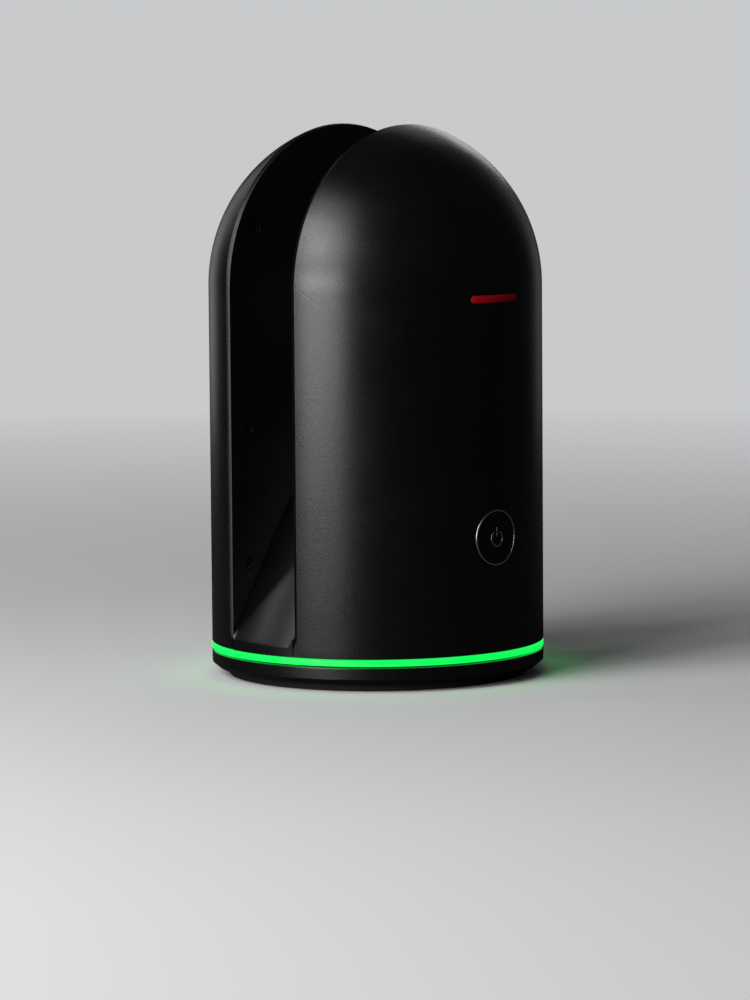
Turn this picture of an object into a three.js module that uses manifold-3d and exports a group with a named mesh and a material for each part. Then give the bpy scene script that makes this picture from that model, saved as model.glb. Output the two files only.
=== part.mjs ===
// Compact terrestrial laser scanner: a dome-topped cylinder split by a vertical slot in which a
// mirror spins. Millimetres, +Z up, origin at the centre of the underside of the foot pad.
// The slot's mid plane is x = 0 and its openings face -Y (front) and +Y (rear).
// The +X (right) lobe carries the power button, the -X (left) lobe the battery door.

import * as THREE from 'three';
import { mergeVertices } from 'three/addons/utils/BufferGeometryUtils.js';
import Module from 'manifold-3d';

const wasm = await Module();
wasm.setup();
const { degToRad } = THREE.MathUtils;

// ---------------------------------------------------------------- shared dimensions
const BODY_R = 50;            // outer radius of base, light ring and shells
const DOME_Z = 117.1;         // height of the dome's centre
const SHELL_WALL = 2;
const SHELL_Z0 = 9.95;        // lower edge of the shells and of the slot floor
const BODY_SEG = 48;          // facets round the big circles
const CUT_R = 60;             // reach of cutting shapes, well outside the body

const SLOT_X = 13.1;          // half width of the slot between its side panels
const SLOT_CHAMFER = 1.2;     // 45 degree chamfer along the slot's edges
const EDGE_X = SLOT_X + SLOT_CHAMFER;
const EDGE_R = Math.sqrt(BODY_R ** 2 - EDGE_X ** 2); // in-plane radius where chamfer meets body
const chamferR = (x) => EDGE_R - (EDGE_X - x);       // in-plane radius of the chamfer at x

const FOOT_H = 2.4;
const BEARING_Z0 = 8.2;       // azimuth bearing
const BEARING_Z1 = 13.2;

const MIRROR_Z = 108.5;       // height of the mirror's axis, parallel to X
const BUTTON_Z = 44;          // centre of the power button
const BATTERY_Z = 40.4;       // centre of the battery

// ---------------------------------------------------------------- materials
const standard = (options) => new THREE.MeshStandardMaterial(options);
const blackShell = standard({ color: 0x121212, roughness: 0.5, metalness: 0.35 });
const blackPanel = standard({ color: 0x0c0c0d, roughness: 0.6, metalness: 0.1 });
const blackGloss = standard({ color: 0x060607, roughness: 0.12, metalness: 0 });
const greenLight = standard({
  color: 0x14f55a, roughness: 0.4, metalness: 0, emissive: 0x14f55a,
});
const rubber = standard({ color: 0x0a0a0a, roughness: 0.9, metalness: 0 });
const castMetal = standard({ color: 0x8d9094, roughness: 0.45, metalness: 0.9 });
const steel = standard({ color: 0xb8babd, roughness: 0.25, metalness: 1 });
const brass = standard({ color: 0xb08d3e, roughness: 0.35, metalness: 1 });
const board = standard({ color: 0x0d3b22, roughness: 0.5, metalness: 0.1 });
const mirrorCoat = standard({ color: 0xe6e2d4, roughness: 0.03, metalness: 1 });
const glass = standard({ color: 0x20262b, roughness: 0.05, metalness: 0 });
const greyPlastic = standard({ color: 0x3a3c3f, roughness: 0.6, metalness: 0 });
const silver = standard({ color: 0xc8c9cb, roughness: 0.25, metalness: 1 });

// ---------------------------------------------------------------- solids from geometry
// Welds a geometry, drops its empty triangles and turns it outside out if it is inverted.
function solid(geometry, matrix) {
  for (const key of Object.keys(geometry.attributes)) {
    if (key !== 'position') geometry.deleteAttribute(key);
  }
  const welded = mergeVertices(geometry, 1e-4);
  if (matrix) welded.applyMatrix4(matrix);
  const { position, } = welded.attributes;
  const index = welded.index.array;
  const corner = (k) => new THREE.Vector3().fromBufferAttribute(position, k);
  const tris = [];
  let volume = 0;
  for (let i = 0; i < index.length; i += 3) {
    const [a, b, c] = [index[i], index[i + 1], index[i + 2]];
    if (a === b || b === c || a === c) continue;
    tris.push(a, b, c);
    volume += corner(a).dot(corner(b).cross(corner(c))) / 6;
  }
  if (volume < 0) {
    for (let i = 0; i < tris.length; i += 3) {
      [tris[i + 1], tris[i + 2]] = [tris[i + 2], tris[i + 1]];
    }
  }
  return new wasm.Manifold(new wasm.Mesh({
    numProp: 3,
    vertProperties: Float32Array.from(position.array),
    triVerts: Uint32Array.from(tris),
  }));
}

function geometryOf(manifold) {
  const mesh = manifold.getMesh();
  const geometry = new THREE.BufferGeometry();
  const position = new THREE.BufferAttribute(Float32Array.from(mesh.vertProperties), 3);
  geometry.setAttribute('position', position);
  geometry.setIndex(new THREE.BufferAttribute(Uint32Array.from(mesh.triVerts), 1));
  geometry.computeVertexNormals();
  return geometry;
}

const union = (first, ...others) => others.reduce((sum, other) => sum.add(other), first);
const cut = (body, ...tools) => tools.reduce((rest, tool) => rest.subtract(tool), body);
const mirrorX = (piece) => piece.mirror([1, 0, 0]);

const shift = (x, y, z) => new THREE.Matrix4().makeTranslation(x, y, z);
const yToZ = new THREE.Matrix4().makeRotationX(Math.PI / 2);
const yToX = new THREE.Matrix4().makeRotationZ(-Math.PI / 2);

// A box from its [low, high] ranges; span gives a range centred on a value.
const span = (half, centre = 0) => [centre - half, centre + half];
const box = ([x0, x1], [y0, y1], [z0, z1]) => solid(
  new THREE.BoxGeometry(x1 - x0, y1 - y0, z1 - z0),
  shift((x0 + x1) / 2, (y0 + y1) / 2, (z0 + z1) / 2));

// A profile of [radius, height] points, turned. One that starts off the axis is closed on itself.
function lathe(profile, seg, matrix) {
  const loop = profile[0][0] > 0 ? [...profile, profile[0]] : profile;
  const points = loop.map(([r, h]) => new THREE.Vector2(r, h));
  return solid(new THREE.LatheGeometry(points, seg), matrix);
}
const rodProfile = (r, h0, h1) => [[0, h0], [r, h0], [r, h1], [0, h1]];
const ringProfile = (r0, r1, h0, h1) => [[r0, h0], [r1, h0], [r1, h1], [r0, h1]];

// About Z, or a parallel axis at y.
const latheZ = (profile, seg = BODY_SEG, y = 0) =>
  lathe(profile, seg, shift(0, y, 0).multiply(yToZ));
const ringZ = (r0, r1, z0, z1, seg) => latheZ(ringProfile(r0, r1, z0, z1), seg);
const rodZ = (r, z0, z1, seg, y) => latheZ(rodProfile(r, z0, z1), seg, y);

// About an axis parallel to X through (y, z).
const latheX = (profile, seg = 24, y = 0, z = 0) =>
  lathe(profile, seg, shift(0, y, z).multiply(yToX));
const rodX = (r, x0, x1, seg, y, z) => latheX(rodProfile(r, x0, x1), seg, y, z);
const ringX = (r0, r1, x0, x1, seg, y, z) => latheX(ringProfile(r0, r1, x0, x1), seg, y, z);

// A shape drawn with y to the right and z up, pushed from x0 to x1.
function pushX(shape, x0, x1, z = 0, curveSegments = 12) {
  const geometry = new THREE.ExtrudeGeometry(
    shape, { depth: x1 - x0, bevelEnabled: false, curveSegments });
  const axes = new THREE.Matrix4().makeBasis(
    new THREE.Vector3(0, 1, 0), new THREE.Vector3(0, 0, 1), new THREE.Vector3(1, 0, 0));
  return solid(geometry, shift(x0, 0, z).multiply(axes));
}

function roundedRect(width, height, r) {
  const shape = new THREE.Shape();
  // Corner signs, and the arc's start in quarter turns.
  for (const [sx, sy, quarter] of [[1, -1, -1], [1, 1, 0], [-1, 1, 1], [-1, -1, 2]]) {
    const start = quarter * Math.PI / 2;
    shape.absarc(sx * (width / 2 - r), sy * (height / 2 - r), r, start, start + Math.PI / 2);
  }
  return shape;
}

// The slot outline as [y, z]: straight sides from z0 to the dome's centre, then a half circle.
function slotOutline(r, z0) {
  const steps = 16;
  const points = [[-r, z0], [r, z0]];
  for (let i = 0; i <= steps; i++) {
    const angle = (Math.PI * i) / steps;
    points.push([r * Math.cos(angle), DOME_Z + r * Math.sin(angle)]);
  }
  return points;
}

// Joins slot outlines at the stations [x, in-plane radius] into one solid.
function loftX(stations, z0) {
  const outlines = stations.map(([, r]) => slotOutline(r, z0));
  const count = outlines[0].length;
  const positions = outlines.flatMap(
    (points, s) => points.flatMap(([y, z]) => [stations[s][0], y, z]));
  const index = [];
  const last = (stations.length - 1) * count;
  for (let row = 0; row < last; row += count) {
    for (let i = 0; i < count; i++) {
      const a = row + i;
      const b = row + ((i + 1) % count);
      index.push(a, b, b + count, a, b + count, a + count);
    }
  }
  const flat = outlines[0].map(([y, z]) => new THREE.Vector2(y, z));
  for (const [a, b, c] of THREE.ShapeUtils.triangulateShape(flat, [])) {
    index.push(a, c, b, last + a, last + b, last + c);
  }
  const geometry = new THREE.BufferGeometry();
  geometry.setAttribute('position', new THREE.Float32BufferAttribute(positions, 3));
  geometry.setIndex(index);
  return solid(geometry);
}

// ---------------------------------------------------------------- groups
const scanner = new THREE.Group();

function add(name, material, piece, parent) {
  const mesh = new THREE.Mesh(geometryOf(piece), material);
  mesh.name = name;
  parent.add(mesh);
  return mesh;
}

function addGroup(parent, x = 0, y = 0, z = 0) {
  const group = new THREE.Group();
  group.position.set(x, y, z);
  parent.add(group);
  return group;
}

// ---------------------------------------------------------------- azimuth gears
const GEAR = {
  module: 1, z0: 14.2, z1: 17.2,
  addendum: 0.8, dedendum: 1.15, // in modules
  play: 0.16,                    // share of the tooth width left free
  flankTan: Math.tan(Math.PI / 9),
  rootFlare: 0.6,                // share of the full flank slope kept at the root
  tipRelief: 0.012,              // radians off each side of the tip, for ten teeth
  rootGap: 0.02,                 // least half angle left between roots
};
const SUN_TEETH = 40;
const PINION_TEETH = 10;
const PINION_Y = 25.2;           // centre distance, 0.2 over the sum of the pitch radii

// Straight-flanked teeth, extruded along Z.
function gear(teeth, bore = 0) {
  const pitchR = (GEAR.module * teeth) / 2;
  const addendum = GEAR.addendum * GEAR.module;
  const dedendum = GEAR.dedendum * GEAR.module;
  const tip = pitchR + addendum;
  const root = pitchR - dedendum;
  const half = (Math.PI / (2 * teeth)) * (1 - GEAR.play);
  const tipHalf = half - (addendum * GEAR.flankTan) / pitchR - GEAR.tipRelief * (10 / teeth);
  const rootHalf = Math.min(
    half + (dedendum * GEAR.flankTan) / pitchR * GEAR.rootFlare,
    Math.PI / teeth - GEAR.rootGap);
  const corners = [[root, -rootHalf], [tip, -tipHalf], [tip, tipHalf], [root, rootHalf]];
  const points = [];
  for (let k = 0; k < teeth; k++) {
    const centre = (2 * Math.PI * k) / teeth;
    for (const [r, offset] of corners) {
      const angle = centre + offset;
      points.push(new THREE.Vector2(r * Math.cos(angle), r * Math.sin(angle)));
    }
  }
  const shape = new THREE.Shape(points);
  if (bore > 0) shape.holes.push(new THREE.Path().absarc(0, 0, bore, 0, 2 * Math.PI, true));
  const geometry = new THREE.ExtrudeGeometry(
    shape, { depth: GEAR.z1 - GEAR.z0, bevelEnabled: false, curveSegments: 16 });
  return solid(geometry, shift(0, 0, GEAR.z0));
}

// ---------------------------------------------------------------- fixed base
const BASE_TOP = 7.4;
const BASE_FLOOR_Z = 4.6;     // inside floor
const BASE_RIM_R = 46;        // inside of the rim
const BASE_CHAMFER = [1.8, 1.5]; // lower edge, radial and vertical
const HUB = { r0: 11, r1: 14, top: 18 };

add('base_housing', blackShell, latheZ([
  [HUB.r0, FOOT_H], [BODY_R - BASE_CHAMFER[0], FOOT_H], [BODY_R, FOOT_H + BASE_CHAMFER[1]],
  [BODY_R, BASE_TOP], [BASE_RIM_R, BASE_TOP], [BASE_RIM_R, BASE_FLOOR_Z],
  [HUB.r1, BASE_FLOOR_Z], [HUB.r1, HUB.top], [HUB.r0, HUB.top],
]), scanner);
add('foot_pad', rubber, ringZ(30.4, 45, 0, FOOT_H - 0.05, 36), scanner);
// Flanged insert for the tripod's adapter; its thread is a plain blind bore.
add('tripod_socket', steel, latheZ([
  [7.94, 1.9], [13.5, 1.9], [13.5, 2.35], [10.9, 2.35], [10.9, 17.5], [0, 17.5], [0, 16], [7.94, 16],
], 24), scanner);
add('azimuth_bearing_inner', steel, ringZ(14.2, 16.3, BEARING_Z0, BEARING_Z1, 24), scanner);
add('azimuth_gear', brass, gear(SUN_TEETH, 14.25), scanner);

// ---------------------------------------------------------------- turning head: structure
const head = addGroup(scanner);

const SLEEVE = { x0: -42, x1: 25.2, halfY: 20.8, halfZ: 11.6, wall: 1.2, clearance: 0.6 };
const sleeveClear = box(
  span(CUT_R),
  span(SLEEVE.halfY + SLEEVE.clearance),
  span(SLEEVE.halfZ + SLEEVE.clearance, BATTERY_Z));

const SHAFT_HOLE_R = 2.3;     // clears the pinion's shaft

// The +X upright plate, with a hole of the given radius on the mirror's axis.
function upright(holeR) {
  const [x0, x1] = [15.4, 17.4];
  return cut(
    box([x0, x1], span(30), [12, 125]),
    sleeveClear,
    box([x0 - 1, x1 + 1], span(20), [10, 20]),
    rodX(holeR, x0 - 1, x1 + 1, 20, 0, MIRROR_Z));
}

// Bearing collar with a flat disc, two uprights and the bracket under the azimuth motor.
function headChassis() {
  const [collarR, diskR, collarOuterR] = [20, 46.3, 22.6];
  const disk = latheZ([
    [collarR, BEARING_Z0], [collarOuterR, BEARING_Z0], [collarOuterR, 10.1], [diskR, 10.1],
    [diskR, 12.5], [collarOuterR, 12.5], [collarOuterR, 13.4], [collarR, 13.4],
  ], 32);
  const shelf = cut(
    box(span(10), [15.5, 37.5], [18, 19.4]),
    rodZ(SHAFT_HOLE_R, 15.7, 21.7, 12, PINION_Y));
  const leg = box(span(10), [34.5, 37.5], [12.2, 19]);
  return union(disk, mirrorX(upright(9.15)), upright(13.4), shelf, leg);
}
add('head_chassis', castMetal, headChassis(), head);

add('azimuth_bearing_outer', steel, ringZ(17.3, 19.85, BEARING_Z0, BEARING_Z1, 24), head);
add('azimuth_motor', greyPlastic, cut(
  rodZ(9.3, 19.5, 28.1, 20, PINION_Y),
  rodZ(SHAFT_HOLE_R, 18.5, 21.5, 12, PINION_Y)), head);
add('light_ring', greenLight, ringZ(47.2, BODY_R, 7.7, 9.75), head);
add('led_board', board, ringZ(40, 46.9, 8.1, 9.5, 24), head);

// ---------------------------------------------------------------- outer shells
const SHELL_EDGE_X = 13.8;    // edge face of the shell beside the panel
const DOOR = { z0: 25.1, z1: 55.7, halfY: 39.2, gap: 0.3 }; // opening, and gap round the door
const BUTTON_R = 7.45;
const BUTTON_GAP = 0.3;       // radial gap on both sides of the button's ring
const BUTTON_RING_R = 8.3;
const CAMERA_AZIMUTH = 58;    // direction of the camera window from +X, degrees
const CAMERA_WINDOW = { width: 9.4, height: 55.4, z: 88, gap: 0.3 };

// A radial prism of the camera window's outline, widened on all sides, pointing along +X.
function windowPrism(grow) {
  const width = CAMERA_WINDOW.width + 2 * grow;
  const height = CAMERA_WINDOW.height + 2 * grow;
  return pushX(roundedRect(width, height, width / 2 - 0.01), 44, 56, CAMERA_WINDOW.z, 5);
}

// Quarter circle from the cylinder's wall up to the pole on the axis.
function domeArc(r) {
  const steps = 8;
  return Array.from({ length: steps + 1 }, (_, i) => {
    const angle = (Math.PI / 2) * (i / steps);
    return [i === steps ? 0 : r * Math.cos(angle), DOME_Z + r * Math.sin(angle)];
  });
}

// The +X half of the shell, without openings.
function shellLobe() {
  const innerR = BODY_R - SHELL_WALL;
  const full = latheZ([
    [BODY_R, SHELL_Z0], ...domeArc(BODY_R), ...domeArc(innerR).reverse(), [innerR, SHELL_Z0],
  ]);
  return full.intersect(loftX([
    [SHELL_EDGE_X, chamferR(SHELL_EDGE_X)], [EDGE_X, EDGE_R], [EDGE_X + 0.06, CUT_R], [CUT_R, CUT_R],
  ], 0));
}

add('shell_right', blackShell, cut(
  shellLobe(),
  rodX(BUTTON_RING_R + BUTTON_GAP, 40, CUT_R, 24, 0, BUTTON_Z),
  windowPrism(CAMERA_WINDOW.gap).rotate([0, 0, CAMERA_AZIMUTH])), head);
add('shell_left', blackShell, cut(
  mirrorX(shellLobe()),
  box([-CUT_R, -20], span(DOOR.halfY), [DOOR.z0, DOOR.z1])), head);

// ---------------------------------------------------------------- slot panels, floor and screws
const PANEL_LIP_X = 13.6;     // back of the panel's lip
const PANEL_BACK = { x: 15.1, r: 45.2 };
const PANEL_Z0 = 12.8;
const PANEL_CUT = [10, 20];   // x range of cuts through a panel

const PANEL_SCREWS = [        // name, y, z
  ['front_low', -40.6, 35.2], ['front_mid', -40.6, 75],
  ['rear_low', 40.6, 35.2], ['rear_mid', 40.6, 75],
  ['front_top', -36.8, 134.5], ['rear_top', 36.8, 134.5],
];

// The +X panel, with a hole on the mirror's axis.
function slotPanel(holeR, holeSeg) {
  const lip = loftX([[SLOT_X, chamferR(SLOT_X)], [PANEL_LIP_X, chamferR(PANEL_LIP_X)]], PANEL_Z0);
  const backing = loftX(
    [[PANEL_LIP_X - 0.1, PANEL_BACK.r], [PANEL_BACK.x, PANEL_BACK.r]], PANEL_Z0);
  return cut(
    lip.add(backing),
    sleeveClear,
    box(PANEL_CUT, span(24), [10, 20]),
    rodX(holeR, ...PANEL_CUT, holeSeg, 0, MIRROR_Z),
    ...PANEL_SCREWS.map(([, y, z]) => rodX(1.75, ...PANEL_CUT, 8, y, z)));
}
add('slot_panel_right', blackPanel, slotPanel(11.4, 24), head);
add('slot_panel_left', blackPanel, mirrorX(slotPanel(4.6, 12)), head);

// A strip of a hollow cone: a low sill at each opening and a ramp up to the flat under the mirror.
function slotFloor() {
  const halfWidth = 12.85;
  const sillR = BODY_R - 0.1;
  const sillZ = 12.9;
  const topZ = 88;
  const wall = 2;
  const slope = Math.PI / 3;
  const outerR = (z) => sillR - (z - sillZ) / Math.tan(slope);
  const innerR = (z) => outerR(z) - wall / Math.sin(slope);
  const ceilingZ = topZ - wall;
  return latheZ([
    [sillR, SHELL_Z0], [sillR, sillZ], [outerR(topZ), topZ], [0, topZ], [0, ceilingZ],
    [innerR(ceilingZ), ceilingZ], [innerR(sillZ), sillZ], [innerR(sillZ), SHELL_Z0],
  ]).intersect(box(span(halfWidth), span(CUT_R), [0, 120]));
}
add('slot_floor', blackPanel, slotFloor(), head);

// A +X screw on the X axis: chamfered head with a hexagonal recess.
function panelScrew() {
  const hexR = 0.75;
  const hexagon = Array.from({ length: 6 }, (_, i) => {
    const angle = (i * Math.PI) / 3;
    return new THREE.Vector2(hexR * Math.cos(angle), hexR * Math.sin(angle));
  });
  const body = latheX([[0, 13.25], [1.35, 13.25], [1.6, 13.5], [1.6, 14.6], [0, 14.6]], 8);
  return body.subtract(pushX(new THREE.Shape(hexagon), 13, 13.95));
}
for (const [side, screw] of [['right', panelScrew()], ['left', mirrorX(panelScrew())]]) {
  for (const [name, y, z] of PANEL_SCREWS) {
    add(`panel_screw_${side}_${name}`, steel, screw, head).position.set(0, y, z);
  }
}

// ---------------------------------------------------------------- mirror and its drive, -X lobe
const DRUM_R = 11;
const mirror = addGroup(head, 0, 0, MIRROR_Z);

// A slab between two distances from the axis, square to the direction midway between +X and -Y,
// where the mirror's face looks.
function mirrorSlab(from, to) {
  const turn = new THREE.Matrix4().makeRotationZ(-Math.PI / 4);
  const geometry = new THREE.BoxGeometry(to - from, 80, 80);
  return solid(geometry, turn.multiply(shift((from + to) / 2, 0, 0)));
}
add('mirror_drum', castMetal, rodX(DRUM_R, -12.3, 14, 28).intersect(mirrorSlab(-60, -1)), mirror);
add('mirror_glass', mirrorCoat,
  rodX(DRUM_R - 0.25, -16, 16, 28).intersect(mirrorSlab(-0.95, 0.25)), mirror);
add('mirror_shaft', steel, rodX(3, -37.4, -12.35, 12), mirror);
add('encoder_disc', glass, ringX(3.2, 11.5, -19.6, -18.8, 24), mirror);
add('mirror_rotor', brass, ringX(3.2, 9.3, -35.2, -24.4, 16), mirror);

// Motor can, open towards the slot, with three posts on its rim.
function mirrorMotor() {
  const postCircleR = 13.7;
  const can = latheX([
    [10, -23], [10, -36], [3.6, -36], [3.6, -38], [15, -38], [15, -23],
  ], 20, 0, MIRROR_Z);
  const posts = [90, 210, 330].map(degToRad).map((angle) => rodX(
    1.2, -23.2, -17.5, 6,
    postCircleR * Math.cos(angle), MIRROR_Z + postCircleR * Math.sin(angle)));
  return union(can, ...posts);
}
add('mirror_motor', greyPlastic, mirrorMotor(), head);
add('mirror_bearing', steel, ringX(3.6, 8.95, -17.4, -15.5, 16, 0, MIRROR_Z), head);
add('encoder_reader', board,
  box([-22.4, -20.2], span(4), [MIRROR_Z + 6.2, MIRROR_Z + 11.6]), head);

// ---------------------------------------------------------------- ranging optics and electronics
add('receiver_tube', blackPanel, latheX([
  [11, 15.5], [12.6, 15.5], [12.6, 40], [0, 40], [0, 38.4], [11, 38.4],
], 20, 0, MIRROR_Z), head);
add('receiver_lens', glass, latheX([
  [0, 16.2], [5.5, 17], [10.5, 19.4], [10.5, 20.6], [5.5, 22], [0, 22.6],
], 20, 0, MIRROR_Z), head);
add('laser_module', castMetal, union(
  box([22, 37], span(6.5), [122.2, 135]),
  rodX(3.2, 18.6, 22.5, 10, 0, 128)), head);
add('main_board', board, union(
  box([28, 29.6], span(30), [18, 90]),
  // Components: two on the outer face, one on the inner face.
  box([29.4, 31.4], [-12, 4], [60, 76]),
  box([29.4, 30.8], [8, 20], [64, 76]),
  box([25.6, 28.2], [-26, -12], [74, 84])), head);
add('wlan_antenna', board, box([-31, -29.8], span(12), [136, 146]), head);

// ---------------------------------------------------------------- battery bay, battery and door
add('battery_sleeve', greyPlastic, cut(
  box([SLEEVE.x0, SLEEVE.x1], span(SLEEVE.halfY), span(SLEEVE.halfZ, BATTERY_Z)),
  box(
    [SLEEVE.x0 - 2, SLEEVE.x1 - SLEEVE.wall],
    span(SLEEVE.halfY - SLEEVE.wall),
    span(SLEEVE.halfZ - SLEEVE.wall, BATTERY_Z))), head);
add('battery_contacts', brass, box([22.8, 23.9], span(8), span(3, BATTERY_Z)), head);

const drawer = addGroup(head);
add('battery_pack', greyPlastic,
  pushX(roundedRect(38, 19.6, 2.2), -43.2, 22.2, BATTERY_Z, 3), drawer);

// Curved door with a block on its inner face.
function batteryDoor() {
  const skin = ringZ(48.2, BODY_R, DOOR.z0 + DOOR.gap, DOOR.z1 - DOOR.gap)
    .intersect(box([-CUT_R, -20], span(DOOR.halfY - DOOR.gap), [0, 100]));
  const block = box([-49.5, -43.4], span(17), span(9, BATTERY_Z))
    .intersect(rodZ(48.6, 20, 60));
  return skin.add(block);
}
add('battery_door', blackGloss, batteryDoor(), drawer);

// ---------------------------------------------------------------- power button, +X lobe
const BUTTON_CUT_X = 52;      // outer end of the button's shapes, before trimming to the body
const STEM = { r: 2, x0: 44.8, y: 5.2 };
const BUTTON_TRAVEL = 0.6;
const TRAVEL_SPARE = 0.2;     // gap left between stems and switch at full travel
const bodyCylinder = (r) => rodZ(r, 30, 60, 72);
const buttonFace = bodyCylinder(BODY_R - 0.05);

// The power sign, a bar in a gapped ring, from x0 outwards and widened by grow.
function powerSign(grow, x0) {
  const gap = degToRad(38) - grow / 2.2;
  const start = Math.PI / 2 + gap;
  const end = Math.PI / 2 - gap + 2 * Math.PI;
  const arc = new THREE.Shape();
  arc.absarc(0, -0.3, 2.45 + grow, start, end, false);
  arc.absarc(0, -0.3, 2 - grow, end, start, true);
  const bar = box(
    [x0, BUTTON_CUT_X], span(0.23 + grow), [BUTTON_Z + 0.3 - grow, BUTTON_Z + 2.95 + grow]);
  return bar.add(pushX(arc, x0, BUTTON_CUT_X, BUTTON_Z, 8));
}

// Cap with two stems, a round pocket behind it and the sign cut through.
function powerButton() {
  const stem = (y) => rodX(STEM.r, STEM.x0, 47.2, 8, y, BUTTON_Z);
  const cap = union(
    rodX(BUTTON_R, 47, BUTTON_CUT_X, 32, 0, BUTTON_Z), stem(STEM.y), stem(-STEM.y));
  return cut(
    cap.intersect(buttonFace), rodX(3.6, 46, 48.3, 16, 0, BUTTON_Z), powerSign(0.06, 48));
}

add('power_button_ring', silver,
  ringX(BUTTON_R + BUTTON_GAP, BUTTON_RING_R, 46.6, BUTTON_CUT_X, 32, 0, BUTTON_Z)
    .intersect(bodyCylinder(BODY_R)), head);
const button = addGroup(head);
add('power_button', blackGloss, powerButton(), button);
// The sign stands on a disc in the cap's pocket.
add('power_symbol', silver, union(
  rodX(3.3, 47.2, 48.2, 16, 0, BUTTON_Z),
  powerSign(0, 48.1).intersect(buttonFace)), button);
add('button_switch', greyPlastic,
  box([41.2, STEM.x0 - BUTTON_TRAVEL - TRAVEL_SPARE], span(7.4), span(2.4, BUTTON_Z)), head);
add('button_board', board, box([39.7, 41], span(11), span(10, BUTTON_Z)), head);

// ---------------------------------------------------------------- camera window, rear of +X lobe
const CAMERAS = [             // name, z, tilt in degrees about Y
  ['upper', 109, -35], ['middle', 84.5, 0], ['lower', 67, 35],
];
const THERMAL_Z = 96.5;
const FLASH_Z = 76;

// The pod's own +X points out through the window.
const pod = addGroup(head);
pod.rotation.z = degToRad(CAMERA_AZIMUTH);

function cameraWindow() {
  const hole = (r, seg, z) => rodX(r, 44, 56, seg, 0, z);
  return cut(
    ringZ(48.25, BODY_R - 0.05, 50, 130, 60).intersect(windowPrism(0)),
    ...CAMERAS.map(([, z]) => hole(3, 14, z)),
    hole(3.6, 14, THERMAL_Z),
    hole(2.5, 12, FLASH_Z));
}
add('camera_window', blackGloss, cameraWindow(), pod);

for (const [name, z, tilt] of CAMERAS) {
  add(`camera_lens_${name}`, glass, latheX([
    [0, 48], [2.75, 48], [2.75, 48.6], [1.9, 49], [0, 49.3],
  ], 14, 0, z), pod);
  const barrel = addGroup(pod, 45, 0, z);
  barrel.rotation.y = degToRad(tilt);
  add(`camera_${name}`, greyPlastic,
    rodX(3.1, -6.5, 0, 12).add(box([-8, -6.3], span(3.4), span(3.4))), barrel);
}
add('thermal_camera', castMetal, latheX([
  [0, 39.5], [4.3, 39.5], [4.3, 45], [3.3, 45], [3.3, 49.2], [2.2, 49.2], [0, 48.6],
], 14, 0, THERMAL_Z), pod);
add('flash_led', glass, rodX(2.25, 46, 49.2, 12, 0, FLASH_Z), pod);

// ---------------------------------------------------------------- azimuth pinion
const pinion = addGroup(head, 0, PINION_Y, 0);
add('azimuth_pinion', steel, gear(PINION_TEETH).add(rodZ(1.8, 16.85, 20.95, 16)), pinion);

export default scanner;
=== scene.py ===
"""A laser scanner head on a round base, with detailed pieces laid over its CAD nodes.

The head turns about Z. A slot along Y, open at the top, parts it into a right lobe (+X, with
the power button and the camera window) and a left lobe (-X, with the battery door). Each lobe
is a cylinder under a dome. The mirror spins about X in the slot. Front is -Y.
Sizes are in mm until a mesh is made. Azimuths run from +X towards +Y.
"""
import math

import bmesh
import bpy
import numpy as np
from mathutils import Matrix, Vector
from mathutils.geometry import tessellate_polygon


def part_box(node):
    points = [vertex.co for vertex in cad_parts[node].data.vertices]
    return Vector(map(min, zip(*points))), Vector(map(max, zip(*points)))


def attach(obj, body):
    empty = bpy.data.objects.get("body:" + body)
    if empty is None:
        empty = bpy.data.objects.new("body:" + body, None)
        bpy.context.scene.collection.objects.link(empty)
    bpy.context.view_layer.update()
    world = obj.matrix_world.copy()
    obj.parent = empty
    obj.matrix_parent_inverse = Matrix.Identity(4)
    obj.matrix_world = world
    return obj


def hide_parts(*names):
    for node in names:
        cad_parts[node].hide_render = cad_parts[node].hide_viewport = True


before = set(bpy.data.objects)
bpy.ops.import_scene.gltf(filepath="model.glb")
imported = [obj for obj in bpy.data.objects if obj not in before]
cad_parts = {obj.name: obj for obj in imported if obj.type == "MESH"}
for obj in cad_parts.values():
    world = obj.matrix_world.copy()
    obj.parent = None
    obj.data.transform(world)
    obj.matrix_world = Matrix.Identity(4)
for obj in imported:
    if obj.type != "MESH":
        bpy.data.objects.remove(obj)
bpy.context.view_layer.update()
MM = 0.001
PI = math.pi
ROOT2 = math.sqrt(2)


def extent(node):
    """The low and high corners of a node's box."""
    return [(np.array(corner) * 1000).tolist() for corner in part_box(node)]


def centre(node):
    return [(low + high) / 2 for low, high in zip(*extent(node))]


# ------------------------------------------------------------------ driving sizes
shell_lo, shell_hi = extent("shell_right")
HEAD_R = shell_hi[0]
INNER_R = HEAD_R - 2.0                      # inside of the shell wall
SHELL_Z = shell_lo[2]                       # lower edge of the shells
EDGE_X = shell_lo[0]                        # edge of the shells at the slot
panel_lo, panel_hi = extent("slot_panel_right")
SLOT_X = panel_lo[0]                        # half width of the slot
PANEL_Z = panel_lo[2]
CHAMFER = 1.2
# The shell's top is where the chamfer meets the dome.
DOME_Z = shell_hi[2] - math.sqrt(HEAD_R ** 2 - (SLOT_X + CHAMFER) ** 2)
LIP_X, LIP_SLOPE = 14.4, 0.25               # where the slot's lip leaves the dome, and its lean
LIP_RHO = math.sqrt(HEAD_R ** 2 - LIP_X ** 2)
floor_lo, floor_hi = extent("slot_floor")
FLOOR_X, RAMP_TOP = floor_hi[0], floor_hi[2]
FLOOR_R = 49.9
SILL_Z = 12.9
MIRROR_Z = centre("mirror_glass")[2]
BUTTON_Z = centre("power_button")[2]
DOOR_Z = centre("battery_door")[2]
CAM_AZ = math.radians(58)
CAM_Z = centre("camera_window")[2]


def lip_rho(x):
    """Distance of the lip's slope from the slot's middle line, at x."""
    return LIP_RHO - (LIP_X - x) * LIP_SLOPE


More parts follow.
